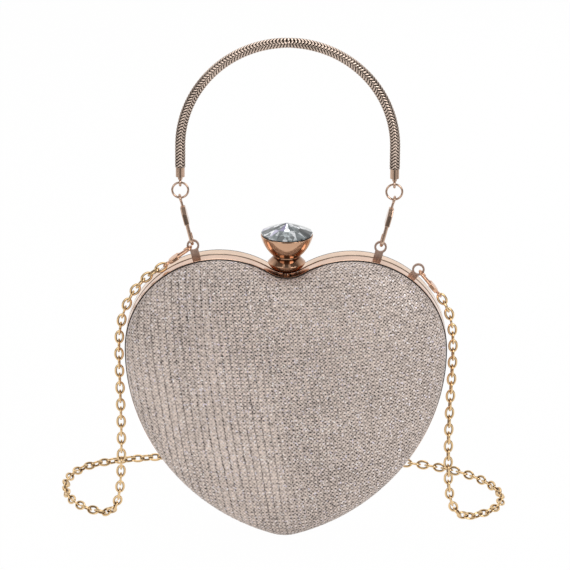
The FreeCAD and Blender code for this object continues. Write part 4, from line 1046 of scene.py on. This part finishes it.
@dataclass
class Knob:
    """Push knob over the cleft: a turned bead, and a turned bowl whose rim the cut stone covers."""

    bench: Bench
    stem_room: float = 1.85
    bead_foot: float = 4.5
    bead: float = 10.6
    bead_rise: float = 5.4
    bead_swell: float = 0.9
    bead_top: float = 7.6
    bead_height: float = 8.4
    neck: float = 6.9
    neck_height: float = 1.2
    bowl_foot: float = 7.9
    bowl_rim: float = 14.5
    bowl_height: float = 11.8
    rim_band: float = 0.8
    bowl_swell: float = 1.0
    rim_wall: float = 0.5
    hollow_depth: float = 7.0
    hollow_end: float = 0.05
    edge_round: float = 0.3
    round_limit: float = 0.45
    groove_reach: float = 3.4
    groove_dark: float = 0.6
    around: int = 128
    girdle: float = 0.8
    crown: float = 5.6
    fan_share: float = 0.52
    fan_rise: float = 0.52
    facets: int = 16
    seed: int = 5
    facet_spread: Pair = (1.1, 1.5)
    tint_from: float = 0.9
    tint_share: float = 0.6

    def bowed(self, start: Pair, end: Pair, swell: float, steps: int = 14) -> list[Pair]:
        """Points of a side that bows out, as a parabola of that height.

        Args:
            start: Radius and height of the first point.
            end: Radius and height of the last point.
            swell: How far the side bows out in its middle.
            steps: Stretches along the side.

        Returns:
            Radius and height of each point.
        """
        way = np.array(end) - np.array(start)
        out = np.array((way[1], -way[0])) / np.hypot(*way)
        shares = np.linspace(0.0, 1.0, steps + 1)
        return [tuple(np.array(start) + way * t + out * swell * 4.0 * t * (1.0 - t)) for t in shares]

    def eased(self, profile: Sequence[Pair], steps: int = 4) -> np.ndarray:
        """Turn the corners of a profile off to small rounds.

        Args:
            profile: Radius and height of its corners.
            steps: Stretches along a round.

        Returns:
            Radius and height of each point.
        """
        points = np.array(profile, float)
        found = [points[0]]
        for before, corner, after in zip(points, points[1:], points[2:]):
            cuts = []
            for other in (before, after):
                way = other - corner
                span = float(np.hypot(*way))
                cuts.append(corner + way / span * min(self.edge_round, span * self.round_limit))
            for t in np.linspace(0.0, 1.0, steps + 1):
                found.append(cuts[0] * (1 - t) ** 2 + 2 * corner * t * (1 - t) + cuts[1] * t ** 2)
        return np.array(found + [points[-1]])

    def turned(self, name: str, profile: Sequence[Pair], node: str, shade_height: float) -> None:
        """Make a turned piece that stands for a CAD node.

        Args:
            name: Name of the piece.
            profile: Radius and height over the bead's foot of its corners.
            node: CAD node that it replaces.
            shade_height: Height over the foot of the neck, round which shade is painted.
        """
        foot = self.bench.height(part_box("knob_bead")[0])
        line = self.eased(profile)
        turn = np.arange(self.around) / self.around * FULL_TURN
        rings = [np.stack([r * np.cos(turn), r * np.sin(turn), np.full(self.around, foot + h)], axis=1)
                 for r, h in line]
        # Painted shade round the neck between bead and bowl, standing in for the bowl's dark underside that
        # the bead mirrors
        dark = self.groove_dark * np.clip(1.0 - np.abs(line[:, 1] - shade_height) / self.groove_reach, 0.0, 1.0)
        made = self.bench.piece(name, np.concatenate(rings), tube_faces(len(line), self.around), KNOB_PLATE,
                                "knob", "rose_gold_metal", np.repeat(dark, self.around))
        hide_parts(node)

    def stone(self) -> None:
        """Make the pointed stone: a fan of facets round its tip, a band of triangles, a girdle and a back."""
        low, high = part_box("knob_stone")
        foot, tip = self.bench.height(low), self.bench.height(high)
        radius = (high.x - low.x) / 2 / MM
        seat = tip - self.crown - self.girdle
        sides = self.facets
        tiers = ((radius, seat, 0.0), (radius, seat + self.girdle, 0.0),
                 (radius * self.fan_share, seat + self.girdle + self.crown * self.fan_rise, 0.5))
        points = [(0.0, 0.0, foot)]
        for reach, height, turn in tiers:
            for k in range(sides):
                angle = (k + turn) / sides * FULL_TURN
                points.append((reach * math.cos(angle), reach * math.sin(angle), height))
        points.append((0.0, 0.0, tip))
        back, girdle, fan, peak = 1, 1 + sides, 1 + 2 * sides, 1 + 3 * sides
        faces = []
        for k in range(sides):
            after = (k + 1) % sides
            faces += [(0, back + after, back + k), (back + k, back + after, girdle + after, girdle + k),
                      (girdle + k, girdle + after, fan + k), (fan + k, girdle + after, fan + after),
                      (fan + k, fan + after, peak)]
        made = self.bench.piece("knob_cut_stone", np.array(points), faces, CutCrystal(), "knob", "crystal")
        made.data.shade_flat()
        # Each facet's tone of painted reflection, and a lilac flash of painted reflection on a few
        chance, count = np.random.default_rng(self.seed), len(faces)
        tones = np.stack([chance.beta(*self.facet_spread, count),
                          (chance.random(count) > self.tint_from) * self.tint_share, np.zeros(count)], axis=1)
        mark(made.data, FACET, tones, "FACE")
        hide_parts("knob_stone")

    def build(self) -> None:
        """Make the bead, the bowl and the stone."""
        stem, top = self.stem_room, self.bead_height
        underside = self.bowed((self.bead_foot, 0.0), (self.bead, self.bead_rise), self.bead_swell)
        self.turned("knob_turned_bead", [(stem, 0.0)] + underside + [(self.bead_top, top), (stem, top)],
                    "knob_bead", top)
        bowl_foot = top + self.neck_height
        rim = bowl_foot + self.bowl_height
        side = self.bowed((self.bowl_foot, bowl_foot), (self.bowl_rim, rim - self.rim_band), self.bowl_swell)
        inside = [(self.bowl_rim - self.rim_wall, rim), (self.hollow_end, rim - self.hollow_depth)]
        self.turned("knob_turned_bowl", [(stem, top), (self.neck, top), (self.neck, bowl_foot)] + side
                    + [(self.bowl_rim, rim)] + inside, "knob_cup", top)
        self.stone()


@dataclass
class ChainStrap:
    """Shoulder strap of oval cable links, hooked on at both ends and lying round behind the purse.

    The route repeats the control points of the CAD source, in metres from the tip of the heart.
    """

    bench: Bench
    wire: float = 1.4
    width: float = 5.6
    inner: float = 5.5
    pitch: float = 5.2
    reach: float = 3.5
    filed: float = 0.86
    inner_shade: float = 0.8
    link_steps: int = 26
    wire_sides: int = 10
    length: float = 1.0
    route_steps: int = 24
    route_order: int = 3
    floor: float = -0.00015
    start: Triple = (-0.066937, -0.0028, 0.159789)
    left_drop: tuple[Triple, ...] = (
        (-0.0718, -0.0024, 0.1566), (-0.079, -0.0008, 0.151), (-0.0862, 0.001, 0.1413),
        (-0.0914, 0.0025, 0.1292), (-0.0938, 0.0035, 0.114), (-0.0934, 0.0045, 0.092),
        (-0.0926, 0.0055, 0.066), (-0.0925, 0.007, 0.042), (-0.0932, 0.009, 0.024),
        (-0.0948, 0.0125, 0.0115), (-0.098, 0.0175, 0.0036),
    )
    on_floor: tuple[Pair, ...] = (
        (-0.103, 0.023), (-0.1105, 0.0275), (-0.1185, 0.0345), (-0.125, 0.047), (-0.128, 0.063),
        (-0.126, 0.08), (-0.118, 0.0945), (-0.104, 0.1035), (-0.087, 0.1085), (-0.071, 0.1115),
        (-0.058, 0.119), (-0.0525, 0.135), (-0.05, 0.152), (-0.04, 0.166), (-0.022, 0.1725), (0.0, 0.1735),
        (0.022, 0.1735), (0.045, 0.175), (0.0588, 0.1693), (0.0645, 0.1555), (0.0588, 0.1417), (0.045, 0.136),
        (0.024, 0.138), (0.004, 0.1385), (-0.016, 0.1385), (-0.0298, 0.1328), (-0.0355, 0.119),
        (-0.0298, 0.1052), (-0.016, 0.0995), (0.004, 0.1015), (0.026, 0.1065), (0.051, 0.1085),
        (0.076, 0.1045), (0.097, 0.0955), (0.113, 0.0825), (0.1235, 0.066), (0.1265, 0.0485), (0.121, 0.0335),
        (0.111, 0.0245),
    )
    right_drop: tuple[Triple, ...] = (
        (0.1028, 0.0196, 0.0006), (0.097, 0.0158, 0.0062), (0.0939, 0.0116, 0.016), (0.0927, 0.0086, 0.03),
        (0.0924, 0.0066, 0.048), (0.0925, 0.0052, 0.07), (0.0934, 0.0044, 0.092), (0.0939, 0.0026, 0.112),
        (0.0926, 0.0, 0.1265), (0.0892, -0.002, 0.1374),
    )
    end: Triple = (0.084976, -0.0028, 0.143557)

    def route(self) -> np.ndarray:
        """Follow the strap's smooth line.

        Returns:
            Points along it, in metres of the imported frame.
        """
        lying = tuple((x, y, self.floor) for x, y in self.on_floor)
        places = (self.start,) + self.left_drop + lying + self.right_drop + (self.end,)
        curve = bpy.data.curves.new("strap_route", "CURVE")
        curve.dimensions = "3D"
        curve.resolution_u = self.route_steps
        spline = curve.splines.new("NURBS")
        spline.points.add(len(places) - 1)
        for point, place in zip(spline.points, places):
            point.co = (*(Vector(place) + self.bench.origin), 1.0)
        spline.order_u = self.route_order
        spline.use_endpoint_u = True
        holder = bpy.data.objects.new("strap_route", curve)
        line = bpy.data.meshes.new_from_object(holder)
        points = np.array([v.co for v in line.vertices], float)
        bpy.data.meshes.remove(line)
        bpy.data.objects.remove(holder)
        bpy.data.curves.remove(curve)
        return points

    def places(self, route: np.ndarray) -> tuple[np.ndarray, np.ndarray]:
        """Share the links out evenly along the route.

        Args:
            route: Points along the strap.

        Returns:
            Middle of every link and the way it points.
        """
        way = np.concatenate([[0.0], np.cumsum(np.linalg.norm(np.diff(route, axis=0), axis=1))])
        reach, length = self.reach * MM, way[-1]
        count = math.ceil((length - 2 * reach) / (self.pitch * MM)) + 1
        step = (length - 2 * reach) / (count - 1)
        middles = reach + step * np.arange(count)
        ends = [np.stack([np.interp(middles + shift, way, route[:, k]) for k in range(3)], axis=1)
                for shift in (-step / 2, step / 2)]
        along = ends[1] - ends[0]
        return (ends[0] + ends[1]) / 2, along / np.linalg.norm(along, axis=1, keepdims=True)

    def turns(self, along: np.ndarray) -> list[Vector]:
        """Turn every second link a quarter round, and share out the twist that the route leaves over.

        Args:
            along: Way that each link points.

        Returns:
            Way that each link's flat side faces.
        """
        face, faces = Vector((0.0, 1.0, 0.0)), []
        for way in map(Vector, along):
            face = (face - way * face.dot(way)).normalized()
            faces.append(face)
        last = Vector(along[-1])
        wanted = Vector((0.0, 1.0, 0.0))
        if len(faces) % 2 == 0:
            wanted = last.cross(wanted)
        wanted = (wanted - last * wanted.dot(last)).normalized()
        left_over = math.atan2(last.dot(faces[-1].cross(wanted)), faces[-1].dot(wanted))
        left_over = (left_over + math.pi / 2) % math.pi - math.pi / 2
        share = left_over / (len(faces) - 1)
        return [Quaternion(Vector(way), share * k + (math.pi / 2 if k % 2 else 0.0)) @ face
                for k, (way, face) in enumerate(zip(along, faces))]

    def link(self) -> tuple[np.ndarray, np.ndarray, np.ndarray]:
        """Draw one oval link about the origin, long way along z, its wire filed a little flat on both faces.

        Returns:
            The points, the faces, and how much shade is painted on each point, most on the inner side of the
            wire.
        """
        steps, sides = self.link_steps, self.wire_sides
        halves = np.array(((self.width - self.wire) / 2, 1.0, (self.inner + self.wire) / 2))
        turn = (np.arange(steps) + 0.5) / steps * FULL_TURN
        oval = np.stack([np.cos(turn), np.zeros(steps), np.sin(turn)], axis=1)
        out = oval / halves
        out = out / np.linalg.norm(out, axis=1, keepdims=True)
        round_wire = np.arange(sides) / sides * FULL_TURN
        flat = np.clip(np.sin(round_wire), -self.filed, self.filed)
        section = np.cos(round_wire)[None, :, None] * out[:, None, :]
        section = section + flat[None, :, None] * np.array((0.0, 1.0, 0.0))
        points = (oval * halves)[:, None, :] + self.wire / 2 * section
        # Painted shade on the inner side of the wire
        inward = np.clip(-np.cos(round_wire), 0.0, 1.0) * self.inner_shade
        return points.reshape(-1, 3), tube_faces(steps, sides, closed=True), np.tile(inward, steps)

    def links(self) -> None:
        """Make all links as one cord of the strap's real length."""
        route = self.route()
        middles, along = self.places(route)
        points, quads, wire_shade = self.link()
        all_points, all_faces = [], []
        for k, (middle, way, face) in enumerate(zip(middles, map(Vector, along), self.turns(along))):
            axes = np.array((face.cross(way), face, way))
            all_points.append(points @ axes + (middle - np.array(self.bench.origin)) / MM)
            all_faces.append(quads + k * len(points))
        made = self.bench.piece("strap_cable_links", np.concatenate(all_points), np.concatenate(all_faces),
                                STRAP_PLATE, "front_half", "strap_metal", np.tile(wire_shade, len(middles)))
        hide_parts("strap_left_drop", "strap_floor_run", "strap_right_drop")


@dataclass
class Hardware:
    """The rigid CAD pieces, which keep their shape and get their real finish."""

    bench: Bench
    nodes: dict[str, bpy.types.Object]
    finishes: tuple[tuple[Any, tuple[str, ...]], ...] = (
        (SHADED_FRONT_PLATE, ("front_frame",)),
        (FRAME_PLATE, ("back_frame",)),
        (STONE_FOIL, ("knob_foil",)),
        (GreyBoard(), ("front_shell", "back_shell")),
        (INNER_STEEL, ("hinge_", "lock_", "latch_", "pivot_", "strike_")),
        (LUG_PLATE, ("handle_lug", "strap_lug")),
        (CLASP_PLATE, ("strap_clasp",)),
        (HARDWARE_PLATE, ("handle_",)),
    )

    def dress(self) -> None:
        """Give every CAD node that still shows its finish, by the start of its name."""
        for name, node in self.nodes.items():
            if node.hide_render:
                continue
            kind = next(kind for kind, starts in self.finishes if name.startswith(starts))
            if not node.material_slots:
                node.data.materials.append(None)
            for place in node.material_slots:
                place.material = self.bench.finish(kind)
            LOG.info("%s: %s", name, kind.name)


@dataclass(frozen=True)
class SoftLamp:
    """A soft square lamp: its place is in metres from the middle of the heart, and its size is its side."""

    name: str
    place: Triple
    size: float
    watts: float
    mirrored: bool = True

    def hang(self, middle: Vector) -> None:
        """Make the lamp.

        Args:
            middle: Middle of the heart, at which it is aimed.
        """
        data = bpy.data.lights.new(self.name, "AREA")
        data.size = self.size
        data.energy = self.watts
        made = put(self.name, data)
        made.location = middle + Vector(self.place)
        made.rotation_euler = (-Vector(self.place)).to_track_quat("-Z", "Y").to_euler()
        made.visible_glossy = self.mirrored


@dataclass
class Studio:
    """Camera at the photograph's angle, soft lamps and a pale floor that runs off into white."""

    bench: Bench
    floor_height: float
    aim: Triple = (-0.8, 0.0, 147.2)
    elevation: float = 19.3
    roll: float = 0.5
    distance: float = 2.47
    lens: float = 280.0
    sensor: float = 36.0
    heart_middle: Triple = (0.0, 0.0, 110.0)
    # A key from the upper right, a fill from the left, one overhead, and one behind that metal doesn't show
    lamps: tuple[SoftLamp, ...] = (
        SoftLamp("key_lamp", (0.75, -0.75, 0.5), 0.6, 5.0),
        SoftLamp("fill_lamp", (-0.7, -0.8, 0.35), 0.7, 2.6),
        SoftLamp("top_lamp", (-0.05, 0.1, 0.95), 0.7, 3.0),
        SoftLamp("back_lamp", (0.35, 0.9, 0.4), 0.7, 2.6, mirrored=False),
    )
    # Radians from straight ahead at which a pale panel starts and is full, on each of its sides
    panel_sides: tuple[Pair, Pair] = ((0.3, 0.42), (0.8, 0.68))
    panel_light: float = 0.85
    dark_room: float = 0.2
    room_light: float = 0.5
    floor_side: float = 0.7
    floor_front: float = -0.42
    floor_back: float = 3.0
    floor_white: float = 0.985

    def camera(self) -> None:
        """Make the camera."""
        data = bpy.data.cameras.new("camera")
        data.lens = self.lens
        data.sensor_width = self.sensor
        made = put("camera", data)
        tilt = math.radians(self.elevation)
        back = Vector((0.0, -math.cos(tilt), math.sin(tilt)))
        aim = Vector(self.bench.row(np.array(self.aim)))
        turn = (-back).to_track_quat("-Z", "Y") @ Quaternion((0.0, 0.0, 1.0), math.radians(self.roll))
        made.matrix_world = Matrix.Translation(aim + back * self.distance) @ turn.to_matrix().to_4x4()
        bpy.context.scene.camera = made

    def rays(self, tree: bpy.types.NodeTree) -> tuple[bpy.types.NodeSocket, bpy.types.Node]:
        """Tell the rays apart.

        Args:
            tree: Node tree of the world or of a material.

        Returns:
            Whether a ray comes from the camera, and whether it comes by way of metal or glass.
        """
        path = add_node(tree, "LightPath").outputs
        mirrored = add_node(tree, "Math", {0: path["Is Glossy Ray"], 1: path["Is Transmission Ray"]},
                            operation="ADD", use_clamp=True)
        return path["Is Camera Ray"], mirrored

    def world(self) -> None:
        """White to the camera and behind the object; metal also shows two tall pale panels in a dark room."""
        world = bpy.data.worlds.new("studio")
        bpy.context.scene.world = world
        world.use_nodes = True
        tree = world.node_tree
        tree.nodes.clear()
        node = partial(add_node, tree)
        camera, mirrored = self.rays(tree)
        way = node("SeparateXYZ", {0: node("TexCoord").outputs["Generated"]}).outputs
        behind = node("MapRange", {"Value": way["Y"], "From Min": 0.05, "From Max": 0.45})
        seen = node("Math", {0: mirrored, 1: behind, 2: camera}, operation="MULTIPLY_ADD", use_clamp=True)
        ahead = node("Math", {0: way["Y"], 1: -1.0}, operation="MULTIPLY")
        aside = node("Math", {0: way["X"]}, operation="ABSOLUTE")
        azimuth = node("Math", {0: aside, 1: ahead}, operation="ARCTAN2")
        sides = [node("MapRange", {"Value": azimuth, "From Min": start, "From Max": full},
                      interpolation_type="SMOOTHSTEP") for start, full in self.panel_sides]
        panel = node("Math", {0: sides[0], 1: sides[1]}, operation="MULTIPLY")
        strip = node("MapRange", {"Value": panel, "To Min": self.dark_room, "To Max": self.panel_light})
        level = node("MapRange", {"Value": mirrored, "To Min": self.room_light, "To Max": strip})
        room = node("Background", {"Color": linear("#F4F2F0"), "Strength": level})
        white = node("Background", {"Color": linear("#FFFFFF"), "Strength": 1.0})
        mixed = node("MixShader", {0: seen, 1: room, 2: white})
        node("OutputWorld", {"Surface": mixed})

    def floor(self) -> None:
        """Make the floor, a matt paper sweep that looks white and keeps a faint shadow."""
        mesh = bpy.data.meshes.new("floor")
        side, front, back, z = self.floor_side, self.floor_front, self.floor_back, self.floor_height
        mesh.from_pydata([(-side, front, z), (side, front, z), (side, back, z), (-side, back, z)], [],
                         [(0, 1, 2, 3)])
        made = put("floor", mesh)
        material, tree, shader = new_material("matt white paper sweep")
        node = partial(add_node, tree)
        plug(tree, shader, {"Base Color": linear("#F4F3F1"), "Roughness": 0.8})
        camera, mirrored = self.rays(tree)
        seen = node("Math", {0: camera, 1: mirrored}, operation="ADD", use_clamp=True)
        share = node("Math", {0: seen, 1: self.floor_white}, operation="MULTIPLY")
        white = node("Emission", {"Color": linear("#FFFFFF"), "Strength": 1.0})
        mixed = node("MixShader", {0: share, 1: shader, 2: white})
        plug(tree, tree.nodes["Material Output"], {"Surface": mixed})
        mesh.materials.append(material)
        made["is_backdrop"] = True

    def build(self) -> None:
        """Make everything round the object."""
        self.camera()
        middle = Vector(self.bench.row(np.array(self.heart_middle)))
        for lamp in self.lamps:
            lamp.hang(middle)
        self.world()
        self.floor()
        bpy.context.scene.view_settings.view_transform = "Standard"


def main() -> None:
    """Build the purse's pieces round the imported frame."""
    logging.basicConfig(level=logging.INFO, format="%(name)s: %(message)s")
    for thing in list(bpy.data.objects):
        bpy.data.objects.remove(thing)
    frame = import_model()
    cad_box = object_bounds()
    bench = Bench()
    Studio(bench, cad_box[0].z).build()
    ChainStrap(bench).links()
    for half in Half:
        shell = ShellHalf(bench, half)
        shell.cover()
        shell.edge_seal()
        shell.lining()
    SnakeHandle(bench).chain()
    Knob(bench).build()
    Hardware(bench, frame["nodes"]).dress()


if __name__ == "__main__":
    main()
